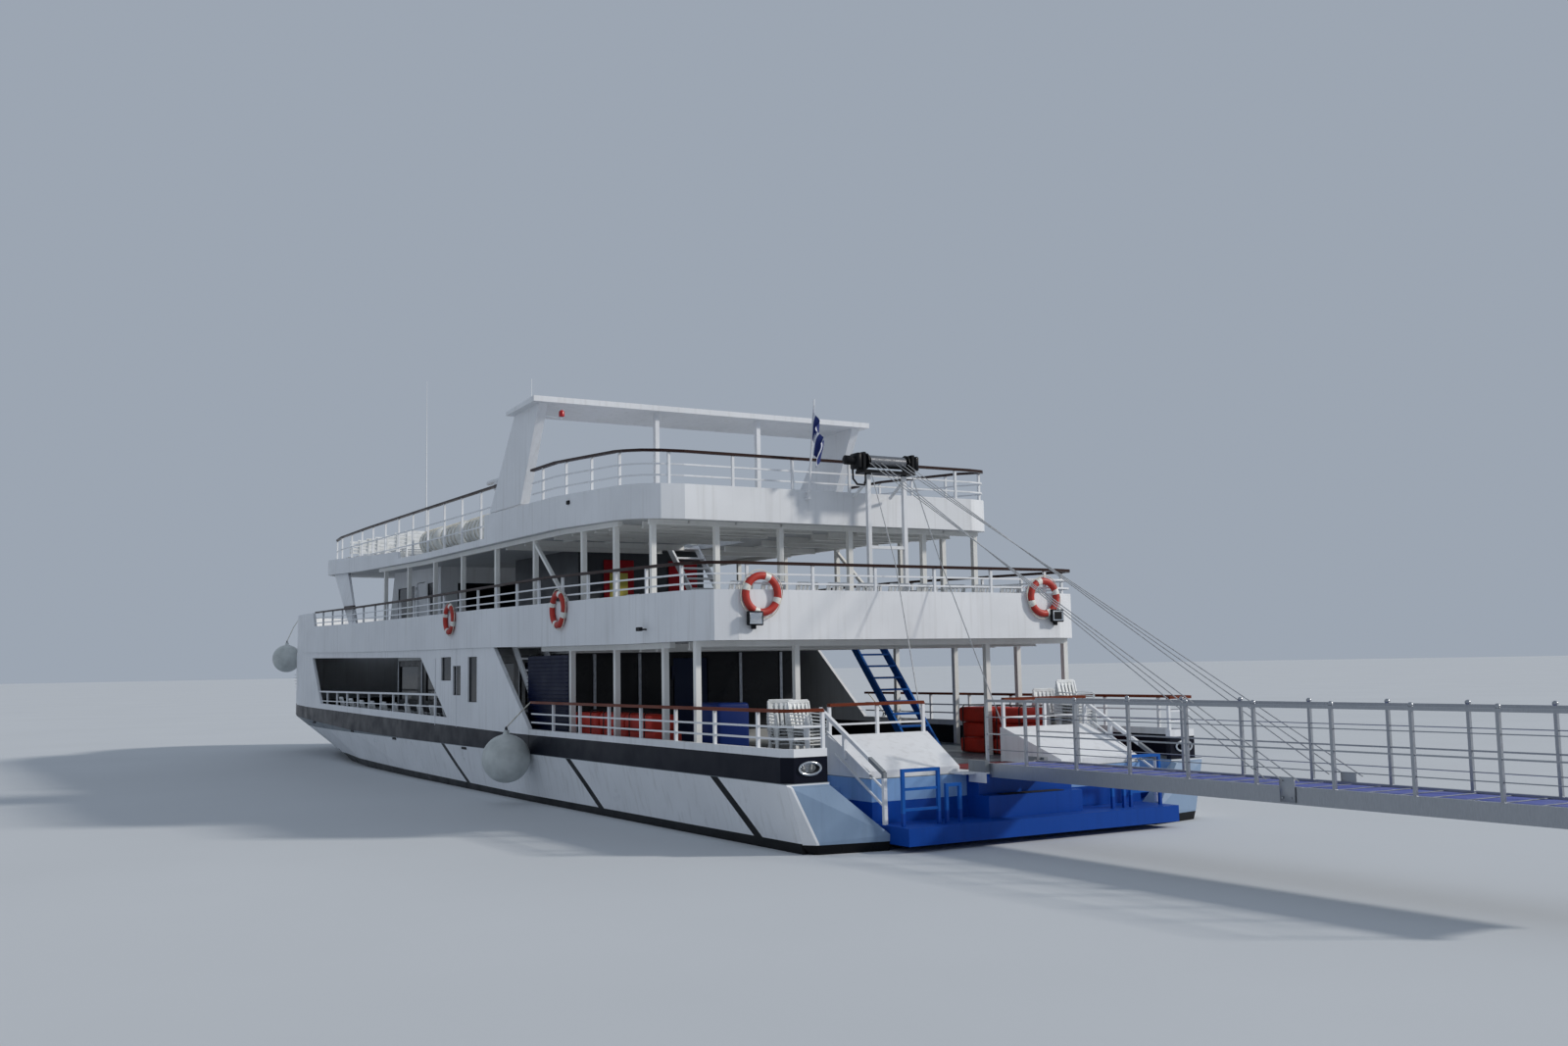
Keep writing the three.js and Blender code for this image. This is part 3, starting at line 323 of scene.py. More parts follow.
# %% The paints
white_paint = ship_paint("superstructure_white", WHITE)
ceiling_paint = ship_paint("pillar_white", WARM_WHITE, streaks=0.08)
PAINTS = {
    "hull": ship_paint("topside_paint", WHITE, hull_zones, 0.35, 0.2),
    "house_side": ship_paint("house_side_paint", WHITE, side_zones),
    "bow_wall": ship_paint("bow_wall_paint", WHITE, side_zones),
    "bulwark": ship_paint("bulwark_paint", WHITE, bulwark_zones),
    "transom": ship_paint("transom_paint", WHITE, transom_zones),
    "quarter_wing": ship_paint("quarter_wing_paint", WHITE, wing_zones, 0.3, 0.12),
    "swim_platform": ship_paint("platform_paint", ROYAL, ladder_zones, 0.45),
    "upper_band": ship_paint("band_paint", WHITE, band_zones),
    "sun_fascia": ship_paint("fascia_paint", WHITE, fascia_zones),
    "sun_rail": ship_paint("sun_rail_paint", WHITE, fascia_zones),
    "saloon": ship_paint("saloon_paint", tone(46, 47, 50), saloon_zones, 0.3, 0.05),
    "saloon_door": ship_paint("saloon_door_paint", tone(40, 52, 84)),
    "upper_deck": ship_paint("upper_deck_paint", tone(178, 182, 184), roughness=0.6),
    "sun_deck": ship_paint("sun_deck_paint", tone(206, 209, 212), roughness=0.6),
    # The bar house is dark grey all over: partly its dark glass and doors, partly painted shade for the
    # shadowed room behind them.
    "bar_house": ship_paint("bar_house_painted_shade", tone(74, 77, 82)),
    "winch": ship_paint("winch_black", tone(24, 25, 28), roughness=0.5),
    "main_stair_stbd": ship_paint("stair_blue", tone(36, 98, 178)),
    "rudder": ship_paint("bottom_paint", tone(58, 30, 28), roughness=0.7),
    "helm_console": ship_paint("console_grey", tone(62, 66, 72), roughness=0.5),
    "winch_frame": ship_paint("winch_frame_paint", WHITE, winch_frame_zones),
}
print("paints", len(PAINTS))

# %% [markdown]
# ## Bare metal
# Propellers are bronze, the gangway is aluminium and the wires are steel. All three shine the same
# way, so one function makes them: fine brushed lines that vary the gloss, over one metal colour. The
# longest key that a node's name starts with picks its finish, and what has no key gets white paint.

# %% Metals, and a finish on every node
def metal(name, shade, roughness, brushed=(40, 1, 1)):
    tree = Tree(name, roughness, 1.0)
    lines = tree.noise(30.0, 4.0, brushed)
    gloss = tree.span(lines, 0.3, 0.7, roughness - 0.08, roughness + 0.12)
    tree.put(tree.shader.inputs["Roughness"], gloss)
    tree.bump(lines, 0.05, 0.001)
    return tree.colour(tree.mix(tree.span(lines, 0.35, 0.65, 0.0, 0.25), shade, tone(90, 92, 96)))


bronze = metal("propeller_bronze", tone(190, 150, 84), 0.28)
steel = metal("gangway_steel", tone(172, 176, 182), 0.36)
wire_steel = metal("wire_steel", tone(150, 152, 156), 0.4, (1, 1, 1))
PAINTS.update({"propeller": bronze, "shaft": bronze, "gangway": steel})
longest_first = sorted(PAINTS, key=len, reverse=True)
for name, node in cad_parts.items():
    paint = next((PAINTS[key] for key in longest_first if name.startswith(key)), white_paint)
    if "pillars" in name:
        paint = ceiling_paint
    node.data.materials.clear()
    node.data.materials.append(paint)
print("painted", len(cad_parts), "nodes")

# %% [markdown]
# ## Modelling helpers
# Small fittings repeat all over a boat: flat bars, tubes, wires. A block is a cube put in its place
# and bevelled in edit mode; a tube is a curve with a round section turned into a mesh. Pieces of
# one finish are joined, so that each rides on its body as one object.

# %% Blocks and tubes
def start_clean():
    if bpy.context.object and bpy.context.object.mode != "OBJECT":
        bpy.ops.object.mode_set(mode="OBJECT")
    bpy.ops.object.select_all(action="DESELECT")


def block(x0, x1, y0, y1, z0, z1, bevel=0.012):
    start_clean()
    middle = ((x0 + x1) / 2 * K, (y0 + y1) / 2 * K, (z0 + z1) / 2 * K)
    sides = (abs(x1 - x0) * K, abs(y1 - y0) * K, abs(z1 - z0) * K)
    bpy.ops.mesh.primitive_cube_add(size=1, location=middle, scale=sides)
    bpy.ops.object.transform_apply(location=True, rotation=True, scale=True)
    if bevel:
        bpy.ops.object.mode_set(mode="EDIT")
        bpy.ops.mesh.select_all(action="SELECT")
        bpy.ops.mesh.bevel(offset=bevel * K, segments=1, affect="EDGES")
        bpy.ops.object.mode_set(mode="OBJECT")
    return bpy.context.object


def tube(points, radius, closed=False, roundness=1):
    start_clean()
    bpy.ops.curve.primitive_bezier_curve_add()
    curve = bpy.context.object.data
    curve.splines.clear()
    spline = curve.splines.new("POLY")
    spline.points.add(len(points) - 1)
    for point, place in zip(spline.points, points):
        point.co = (*[c * K for c in place], 1)
    spline.use_cyclic_u = closed
    curve.bevel_depth = radius * K
    curve.bevel_resolution = roundness
    curve.use_fill_caps = not closed
    bpy.ops.object.convert(target="MESH")
    return bpy.context.object


print("blocks and tubes ready")

# %% [markdown]
# ## Copies and joined pieces
# What repeats is modelled once at the origin. A copy gets its own mesh, and the mesh is moved and not
# the object, so every finished object keeps its place at the origin.

# %% Copies, joining and levels
def moved_copy(piece, matrix):
    start_clean()
    piece.select_set(True)
    bpy.context.view_layer.objects.active = piece
    bpy.ops.object.duplicate()
    copy = bpy.context.object
    copy.data.transform(matrix)
    return copy


def shift(x, y, z, turn=0.0):
    return Matrix.Translation((x * K, y * K, z * K)) @ Matrix.Rotation(turn, 4, "Z")


def glued(parts):
    start_clean()
    for part in parts:
        part.select_set(True)
    bpy.context.view_layer.objects.active = parts[0]
    if len(parts) > 1:
        bpy.ops.object.join()
    return bpy.context.object


def joined(name, parts, material, body="boat", smooth=35):
    """One finished piece: its parts made one, smoothed, painted and set on its body."""
    piece = glued(parts)
    piece.name = name
    bpy.ops.object.shade_smooth_by_angle(angle=math.radians(smooth))
    piece.data.materials.clear()
    piece.data.materials.append(material)
    if body:
        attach(piece, body)
    print(name, len(piece.data.polygons), "faces")
    return piece


def remove(pieces):
    for piece in pieces:
        bpy.data.objects.remove(piece, do_unlink=True)


def follow(table, x):
    """The height at x, by rows of x, z; past either end the last row holds."""
    x = min(max(x, table[0][0]), table[-1][0])
    for (x0, z0), (x1, z1) in zip(table, table[1:]):
        if x <= x1:
            return z0 + (z1 - z0) * ((x - x0) / (x1 - x0))


print("copies and joining ready")

# %% [markdown]
# ## Turned pieces and planks
# Round fittings are turned: a circle is extruded from row to row and each new ring is resized, as on
# a lathe. A plank is a bevelled bar made level at the origin and then laid from point to point.

# %% Turned pieces and planks
def turned(rows, steps=24):
    """A solid turned about the upright axis, from columns of radius and height."""
    start_clean()
    radius, height = rows[0]
    bpy.ops.mesh.primitive_circle_add(vertices=steps, radius=radius * K, fill_type="NGON",
                                      location=(0, 0, height * K))
    bpy.ops.object.transform_apply(location=True, rotation=True, scale=True)
    bpy.ops.object.mode_set(mode="EDIT")
    bpy.ops.mesh.select_all(action="SELECT")
    for next_radius, next_height in rows[1:]:
        rise = (0, 0, (next_height - height) * K)
        bpy.ops.mesh.extrude_region_move(TRANSFORM_OT_translate={"value": rise})
        share = next_radius / radius
        bpy.ops.transform.resize(value=(share, share, 1), center_override=(0, 0, next_height * K))
        radius, height = next_radius, next_height
    bpy.ops.mesh.select_all(action="SELECT")
    bpy.ops.mesh.normals_make_consistent(inside=False)
    bpy.ops.object.mode_set(mode="OBJECT")
    return bpy.context.object


def plank(start, end, width, thick, bevel=0.006):
    """A flat bar between two points; its width lies level."""
    a = Vector(start)
    b = Vector(end)
    along = (b - a).normalized()
    across = along.cross(Vector((0, 0, 1)))
    across = across.normalized() if across.length > 1e-4 else Vector((0, 1, 0))
    piece = block(0, (b - a).length, -width / 2, width / 2, -thick / 2, thick / 2, bevel)
    up_side = across.cross(along)
    piece.data.transform(Matrix((
        (along.x, -across.x, up_side.x, a.x * K),
        (along.y, -across.y, up_side.y, a.y * K),
        (along.z, -across.z, up_side.z, a.z * K),
        (0, 0, 0, 1))))
    piece.data.update()
    return piece


print("turned pieces and planks ready")

# %% [markdown]
# ## Plastic, vinyl, rope and cloth
# The small pieces share one recipe as well: a main colour, worn patches where hands and sun have
# been, and a fine grain that stands up a little. The decks' levels are read from the model's tables.

# %% The finish of small pieces, and the decks' levels
def finish(name, shade, worn, roughness=0.5, patch=8.0, grain=60.0, relief=0.1):
    tree = Tree(name, roughness)
    fine = tree.noise(grain, 3.0)
    worn_share = tree.span(tree.noise(patch, 5.0), 0.42, 0.72, 0.0, 0.7)
    gloss = tree.span(fine, 0.3, 0.7, roughness - 0.08, roughness + 0.1)
    tree.put(tree.shader.inputs["Roughness"], gloss)
    tree.bump(fine, relief, 0.003)
    return tree.colour(tree.mix(worn_share, shade, worn))


MAIN_DECK = [(-17.5, 1.03), (2, 1.03), (8, 1.08), (12, 1.2), (14.5, 1.28), (18.2, 1.38), (21.8, 1.48)]
UPPER_DECK = [(-14.7, 3.32), (-12, 3.32), (-8, 3.36), (-4, 3.42), (2, 3.46), (8, 3.52), (14.5, 3.62),
              (21.8, 3.72)]
SUN_DECK = [(-12.4, 5.59), (-11, 5.67), (-8, 5.77), (2, 5.83), (8, 5.96), (12, 6.12), (16.5, 6.32)]
LEVELS = {"main": MAIN_DECK, "upper": UPPER_DECK, "sun": SUN_DECK}
print("decks", len(LEVELS))

# %% [markdown]
# ## Glass
# The windows are tinted dark, so from outside they read as almost black with soft reflections.
# Each pane is a thin sheet set into the wall's thickness, just inside its black rubber seal, so
# the seal throws the narrow shadow line that makes a window look fitted and not painted on.

# %% Tinted glass, panes and seals
def glass_material():
    tree = Tree("tinted_glass", 0.06, 0.0, 0.05)
    tree.shader.inputs["Specular IOR Level"].default_value = 0.15
    film = tree.span(tree.noise(2.0, 4.0), 0.35, 0.7, 0.0, 0.25)
    smears = tree.span(tree.noise(9.0, 3.0), 0.3, 0.7, 0.03, 0.14)
    tree.put(tree.shader.inputs["Roughness"], smears)
    return tree.colour(tree.mix(film, tone(10, 14, 20), tone(26, 32, 40)))


SEAL_WIDTH = 0.014
PANE_PLAY = 0.004
SEAL_PLAY = 0.002
PANE_HALF = 0.008
SEAL_HALF = 0.018
tinted_glass = glass_material()
rubber = finish("window_rubber", tone(24, 24, 26), tone(44, 44, 46), 0.75, 20.0, 90.0)
panes = []
seals = []


def border(a0, a1, z0, z1):
    """Foot, head and two sides of a seal round an opening."""
    strips = ((a0, a1, z0, z0 + SEAL_WIDTH), (a0, a1, z1 - SEAL_WIDTH, z1),
              (a0, a0 + SEAL_WIDTH, z0, z1), (a1 - SEAL_WIDTH, a1, z0, z1))
    return [(a + SEAL_PLAY, b - SEAL_PLAY, c + SEAL_PLAY, d - SEAL_PLAY) for a, b, c, d in strips]


def pane_in_side(x0, x1, z0, z1, y):
    for s in (1, -1):
        panes.append(block(x0 + PANE_PLAY, x1 - PANE_PLAY, s * (y - PANE_HALF), s * (y + PANE_HALF),
                           z0 + PANE_PLAY, z1 - PANE_PLAY, 0))
        for a, b, c, d in border(x0, x1, z0, z1):
            seals.append(block(a, b, s * (y - SEAL_HALF), s * (y + SEAL_HALF), c, d, 0))


def pane_across(x, y0, y1, z0, z1):
    panes.append(block(x - PANE_HALF, x + PANE_HALF, y0 + PANE_PLAY, y1 - PANE_PLAY,
                       z0 + PANE_PLAY, z1 - PANE_PLAY, 0))
    for a, b, c, d in border(y0, y1, z0, z1):
        seals.append(block(x - SEAL_HALF, x + SEAL_HALF, a, b, c, d, 0))


for x0, x1, z0, z1 in ((-1.55, -0.75, 2.55, 3.12), (-2.3, -1.7, 2.2, 2.9), (-3.5, -2.85, 2.05, 3.1)):
    pane_in_side(x0, x1, z0, z1, 4.205)
for x0 in (-4.9, -2.2, 0.5, 3.2, 5.9):
    pane_in_side(x0, x0 + 1.9, 1.95, 2.95, 2.86)
for x0, x1 in ((4.7, 5.7), (7.0, 8.8)):
    pane_in_side(x0, x1, 4.4, 5.35, 2.66)
for y0, y1 in ((-2.3, -0.4), (0.4, 2.3)):
    pane_across(7.96, y0, y1, 1.95, 2.95)
pane_across(4.44, -2.2, 2.2, 4.5, 5.3)
print("panes", len(panes), "seal bars", len(seals))

# %% [markdown]
# ## The leaning windscreen
# The wheelhouse front leans back, so its panes are made upright at the origin, then turned about
# a level axis by the slope of the wall. The slope comes from the wall's foot and head.

# %% Windscreen panes
FRONT_FOOT = (10.1, 3.2)
FRONT_HEAD = (9.05, 6.3)
lean = math.atan2(FRONT_FOOT[0] - FRONT_HEAD[0], FRONT_HEAD[1] - FRONT_FOOT[1])
PANE_LOW = 4.4
PANE_HIGH = 5.45
slant = (PANE_HIGH - PANE_LOW) / math.cos(lean)
low_x = FRONT_FOOT[0] - (PANE_LOW - FRONT_FOOT[1]) * math.tan(lean) - 0.045
tilt = Matrix.Translation((low_x * K, 0, PANE_LOW * K)) @ Matrix.Rotation(-lean, 4, "Y")
for y0, y1 in ((-2.45, -1.0), (-0.8, 0.8), (1.0, 2.45)):
    first = len(seals)
    pane_across(0, y0, y1, 0.008, slant - 0.008)
    for piece in [panes[-1]] + seals[first:]:
        piece.data.transform(tilt)
joined("window_panes", panes, tinted_glass)
joined("window_seals", seals, rubber)
print("windscreen leans", round(math.degrees(lean), 1), "degrees")

# %% [markdown]
# ## Lifebuoys
# A lifebuoy is a fat orange-red ring with four white bands and a rope round it. One is made at the
# origin from a torus. The bands are short lengths of a slightly fatter torus, kept by deleting the
# faces between them: they could be painted on, but real bands are sheet and stand a little proud.
# The whole set is then copied to each hook on the band of plating.

# %% One ring, its bands and its rope
PORT_BUOYS = [(-8.76, 4.3431, 3.96, 0.005), (-1.7, 4.3569, 4.03, 0.0), (-14.8072, 3.08, 3.97, math.pi / 2)]
BUOYS = PORT_BUOYS + [(x, -y, z, -turn) for x, y, z, turn in PORT_BUOYS]
BUOY_PLACES = ("side_aft", "side_fwd", "aft")
BUOY_NODES = [f"lifebuoy_{place}_{side}" for side in ("port", "stbd") for place in BUOY_PLACES]
RING_R = 0.31
TUBE_R = 0.065
FLATTEN = 0.86
BAND_ANGLES = [20, 110, 200, 290]


def ring(tube_radius, steps=48):
    start_clean()
    bpy.ops.mesh.primitive_torus_add(major_radius=RING_R * K, minor_radius=tube_radius * K,
                                     major_segments=steps, minor_segments=14, rotation=(math.pi / 2, 0, 0))
    piece = bpy.context.object
    piece.scale = (1, 1, FLATTEN)
    bpy.ops.object.transform_apply(location=True, rotation=True, scale=True)
    return piece


buoy_ring = ring(TUBE_R)
buoy_bands = ring(TUBE_R + 0.003, 96)
bpy.ops.object.mode_set(mode="EDIT")
bpy.ops.mesh.select_all(action="DESELECT")
bpy.ops.object.mode_set(mode="OBJECT")
for face in buoy_bands.data.polygons:
    angle = math.degrees(math.atan2(face.center.z, face.center.x)) % 360
    face.select = min(abs((angle - band + 180) % 360 - 180) for band in BAND_ANGLES) > 9
bpy.ops.object.mode_set(mode="EDIT")
bpy.ops.mesh.delete(type="FACE")
bpy.ops.object.mode_set(mode="OBJECT")
rope_points = []
for step in range(96):
    angle = math.radians(step * 3.75)
    away = abs(math.sin(2 * (angle - math.radians(BAND_ANGLES[0]))))
    reach = RING_R + TUBE_R + 0.006 + 0.035 * away
    rope_points.append((reach * math.cos(angle), 0.0, reach * math.sin(angle)))
buoy_rope = tube(rope_points, 0.009, True, 2)
print("band faces", len(buoy_bands.data.polygons))

# %% The six lifebuoys in place
buoy_red = finish("lifebuoy_red", tone(186, 46, 32), tone(142, 48, 40), 0.5, 14.0, 90.0)
reflective = finish("lifebuoy_band", tone(236, 236, 230), tone(190, 186, 176), 0.45, 20.0, 120.0)
white_rope = finish("white_rope", tone(222, 218, 205), tone(150, 146, 134), 0.8, 30.0, 160.0, 0.5)
rings = [moved_copy(buoy_ring, shift(*place)) for place in BUOYS]
bands = [moved_copy(buoy_bands, shift(*place)) for place in BUOYS]
ropes = [moved_copy(buoy_rope, shift(*place)) for place in BUOYS]
remove([buoy_ring, buoy_bands, buoy_rope])
rings_piece = joined("lifebuoy_rings", rings, buoy_red, smooth=60)
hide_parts(*BUOY_NODES)
joined("lifebuoy_bands", bands, reflective, smooth=60)
joined("lifebuoy_ropes", ropes, white_rope, smooth=60)

# %% [markdown]
# ## Ball fenders
# Four blown vinyl balls hang over the side on short ropes. Each has a moulded neck with a rope eye
# on top. The ball is turned from a table of radius and height worked out from a circle, and the
# neck is a few more rows of the same table, so ball and neck are one skin.

# %% Fenders and their ropes
FENDER_R = 0.5
FENDERS = [(-6.9, 4.7566, 0.95), (19.0919, 3.9411, 3.36), (-6.9, -4.7566, 0.95), (19.0919, -3.9411, 3.36)]
MID_ROPE = [(-6.9, 4.7566, 1.585), (-6.93, 4.45, 1.9), (-6.96, 4.24, 2.1), (-6.96, 4.17, 2.09)]
BOW_ROPE = [(19.0919, 3.9411, 3.99), (19.08, 3.72, 4.5), (19.06, 3.46, 4.92), (19.05, 3.38, 4.86)]
profile = []
for step in range(1, 22):
    angle = math.pi * step / 23 - math.pi / 2
    profile.append((FENDER_R * math.cos(angle), FENDER_R * math.sin(angle)))
profile += [(0.085, 0.497), (0.06, 0.52), (0.06, 0.575), (0.045, 0.585)]
ball = turned(profile, 40)
eye_angles = [step * math.pi / 6 for step in range(12)]
eye = tube([(0.045 * math.cos(a), 0, 0.6 + 0.045 * math.sin(a)) for a in eye_angles], 0.016, True, 2)
fender_vinyl = finish("fender_vinyl", tone(205, 210, 208), tone(160, 166, 164), 0.42, 5.0, 50.0, 0.05)
fender_neck = finish("fender_neck", tone(36, 42, 50), tone(70, 74, 80), 0.5, 12.0, 60.0)
balls = [moved_copy(ball, shift(*place)) for place in FENDERS]
eyes = [moved_copy(eye, shift(*place)) for place in FENDERS]
remove([ball, eye])
balls_piece = joined("fender_balls", balls, fender_vinyl, smooth=70)
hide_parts("fender_mid_port", "fender_bow_port", "fender_mid_stbd", "fender_bow_stbd")
joined("fender_eyes", eyes, fender_neck, smooth=60)
fender_ropes = []
for s in (1, -1):
    for rope in (MID_ROPE, BOW_ROPE):
        fender_ropes.append(tube([(x, s * y, z) for x, y, z in rope], 0.014))
joined("fender_ropes", fender_ropes, white_rope, smooth=60)

# %% [markdown]
# ## Gangway
# The gangway is an aluminium frame with a blue-violet carpet, capped posts and thin guard wires.
# It turns about its inner end, so all of these ride on the gangway's own body. A small helper sets a
# block by its distance along the gangway, so the numbers read as on a plan of it.

# %% Carpet, post caps, guard wires and plates
GANG_X = -17.92
GANG_Y = 0.35
GANG_Z = 1.15
GANG_POSTS = [0.02, 0.95, 2.05, 3.13, 4.2, 5.33, 6.49, 7.56, 8.6, 9.8]
GANG_HALF = 0.515
carpet_cloth = finish("gangway_carpet", tone(92, 104, 178), tone(120, 128, 176), 0.95, 6.0, 240.0, 0.7)


def on_gangway(x0, x1, y0, y1, z0, z1, bevel):
    return block(GANG_X + x0, GANG_X + x1, GANG_Y + y0, GANG_Y + y1, GANG_Z + z0, GANG_Z + z1, bevel)


carpet = on_gangway(-9.86, 0.04, -0.475, 0.475, 0.011, 0.022, 0.003)
joined("gangway_carpet", [carpet], carpet_cloth, "gangway_body")
caps = []
cap_ball = turned([(0.012, -0.03), (0.03, -0.015), (0.034, 0.0), (0.03, 0.016), (0.012, 0.03)], 12)
for s in (1, -1):
    for post in GANG_POSTS[2:]:
        caps.append(moved_copy(cap_ball, shift(GANG_X - post, GANG_Y + s * GANG_HALF, GANG_Z + 1.05)))
    for height in (0.26, 0.76):
        wire = [(GANG_X - post, GANG_Y + s * GANG_HALF, GANG_Z + height) for post in GANG_POSTS]
        caps.append(tube(wire, 0.007))
    caps.append(on_gangway(-5.95, -5.72, s * 0.552, s * 0.572, -0.14, 0.16, 0.006))
    for bolt in (-5.9, -5.77):
        caps.append(on_gangway(bolt - 0.012, bolt + 0.012, s * 0.572, s * 0.584, -0.1, -0.076, 0.002))
remove([cap_ball])
joined("gangway_fittings", caps, steel, "gangway_body", smooth=50)
RIB_AT = [-0.5 - step * 0.42 for step in range(23)]
ribs = [on_gangway(along, along + 0.03, -0.46, 0.46, 0.021, 0.032, 0.003) for along in RIB_AT]
joined("gangway_treads", ribs, steel, "gangway_body")

# %% [markdown]
# ## Falls
# Steel wires hold the gangway from the winch above. A rope would sag, but these carry a weight and
# are taut, so each is a straight tube of nine points. They reach over the hinge, so the piece is set
# on no body and its place is baked into its mesh.

# %% Gangway falls
FALL_TOPS = [(-0.3, 0.93), (-0.44, 0.93), (-0.58, 0.93), (-0.92, -0.23), (-1.06, -0.23), (-1.2, -0.23)]
FALL_FEET = [-23.95, -23.7, -23.45]
galvanised = finish("galvanised_wire", tone(188, 190, 192), tone(142, 144, 146), 0.5, 30.0, 200.0, 0.4)
falls = []
for i, (top_y, foot_y) in enumerate(FALL_TOPS):
    top = (-13.12, top_y, 6.62)
    foot = (FALL_FEET[i % 3], foot_y, 1.27)
    route = [tuple(a + (b - a) * step / 8 for a, b in zip(top, foot)) for step in range(9)]
    falls.append(tube(route, 0.008))
gangway_falls = joined("gangway_falls", falls, galvanised, None, smooth=60)
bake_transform(gangway_falls)

# %% [markdown]
# ## Winch
# The winch is a long black drum between two side plates, with a gear case, a motor and wire wound
# on it. The wire could be one long spiral, but rings a wire's width apart look the same and are
# simpler to make. They turn with the drum; the case and the motor stay on the frame.

# %% Wire on the drum, gear case and motor
WINCH_X = -13.0
WINCH_Z = 6.66
WIRE_AT = 0.112
turn_angles = [step * math.pi / 8 for step in range(16)]
round_drum = [(WINCH_X + WIRE_AT * math.cos(a), WINCH_Z + WIRE_AT * math.sin(a)) for a in turn_angles]
turns = [tube([(x, -1.17 + step * 0.0245, z) for x, z in round_drum], 0.011, True) for step in range(34)]
joined("winch_wire_turns", turns, wire_steel, "winch_drum_body", smooth=60)
black_steel = ship_paint("gear_case_black", tone(26, 27, 30), None, 0.45, 0.05)
lie_down = Matrix.Rotation(math.radians(90), 4, "X")
motor = turned([(0.08, 0), (0.09, 0.01), (0.09, 0.2), (0.075, 0.21), (0.075, 0.3), (0.06, 0.32)], 20)
motor.data.transform(shift(WINCH_X, 0.19, WINCH_Z) @ lie_down)
case = block(-13.14, -12.86, -0.13, -0.02, 6.5, 6.8, 0.02)
end_case = block(-13.12, -12.88, -1.48, -1.38, 6.52, 6.8, 0.02)
HOSE = [(-13.02, 0.02, 6.5), (-13.03, 0.02, 6.3), (-13.02, -0.08, 6.2), (-13.0, -0.26, 6.2),
        (-12.98, -0.3, 6.3), (-12.98, -0.3, 6.41)]
hose = tube(HOSE, 0.02, False, 2)
joined("winch_gear", [motor, case, end_case, hose], black_steel, smooth=50)
braces = [plank((-12.98, y, 6.3), (-12.5, y, 6.02), 0.05, 0.05) for y in (-0.34, -1.18)]
joined("winch_braces", braces, white_paint)

# %% [markdown]
# ## Flag
# The flag hangs almost straight down from its staff in still air, gathered into a few folds. A cloth
# simulation could drape it, but a formula gives the same folds on every run. The folds are a wave
# that grows away from the hoist, worked into a fine grid point by point, and slanting stripes are
# painted on it, as on a plain blue and white flag.

# %% Flag on its staff
FLAG_HOIST = 0.62
FLAG_FLY = 0.95
STAFF_TOP = (-12.75, 0.7, 7.72)
start_clean()
bpy.ops.mesh.primitive_grid_add(x_subdivisions=48, y_subdivisions=30, size=1)
flag = bpy.context.object
for vertex in flag.data.vertices:
    along = vertex.co.x + 0.5
    down = 0.5 - vertex.co.y
    droop = along ** 0.9
    fold = math.sin(along * 13 + down * 1.5) * 0.07 * min(1, along * 4)
    staff_x = STAFF_TOP[0] + 0.14 * (down * FLAG_HOIST)
    x = staff_x - 0.02 - 0.24 * along + 0.03 * math.sin(down * 5 + along * 4) * along
    y = STAFF_TOP[1] + fold
    z = STAFF_TOP[2] - down * FLAG_HOIST * (1 - 0.25 * droop) - droop * FLAG_FLY * 0.82
    vertex.co = Vector((x * K, y * K, z * K))
bpy.ops.object.mode_set(mode="EDIT")
bpy.ops.mesh.select_all(action="SELECT")
bpy.ops.mesh.subdivide(number_cuts=1, smoothness=0.6)
bpy.ops.object.mode_set(mode="OBJECT")
print("flag", len(flag.data.vertices), "points")


def flag_cloth():
    tree = Tree("flag_cloth", 0.85)
    across = tree.math("ADD", tree.axis["x"], tree.math("MULTIPLY", tree.axis["z"], 0.35))
    stripe = tree.math("GREATER_THAN", tree.math("FRACT", tree.math("MULTIPLY", across, 24.0)), 0.72)
    weave = tree.noise(260.0, 2.0)
    tree.bump(weave, 0.3, 0.001)
    colour = tree.mix(stripe, tone(28, 46, 112), tone(214, 218, 228))
    threads = tree.span(weave, 0.3, 0.7, 0.85, 1.1)
    return tree.colour(tree.mix(1.0, colour, threads, "MULTIPLY"))


flag.name = "flag"
flag.data.materials.append(flag_cloth())
bpy.ops.object.shade_smooth()
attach(flag, "boat")

# %% [markdown]
# ## Stays and stern fittings
# Two wires run from the legs of the winch down to the end posts of the transom rail. The bulwark has
# an oval hole each side, edged by a polished ring. A ring is a round bar bent on an oval, so it is a
# closed curve with a round section.

# %% Stays and hawse rings
STAYS = [[(-13.1, -0.35, 6.45), (-14.8, 0.33, 4.575), (-16.24, 0.85, 1.66)],
         [(-13.1, -1.28, 6.5), (-14.8, -0.68, 4.58), (-16.24, -0.85, 1.62)]]
joined("winch_stays", [tube(stay, 0.01) for stay in STAYS], galvanised, smooth=60)
chrome = metal("polished_steel", tone(214, 218, 222), 0.16)
oval_angles = [step * math.pi / 16 for step in range(32)]
oval = [(3.83 + 0.185 * math.cos(a), 1.24 + 0.09 * math.sin(a)) for a in oval_angles]
hawse = [tube([(-17.492, s * y, z) for y, z in oval], 0.022, True, 2) for s in (1, -1)]
joined("hawse_rings", hawse, chrome, smooth=60)

# %% [markdown]
# ## Scuppers, step tread and mat
# Scuppers are the slots that let water off the deck. They, the rubber tread on the platform's step
# and the red mat in the stern recess are thin blocks with a fine bevel, because only their faces show.

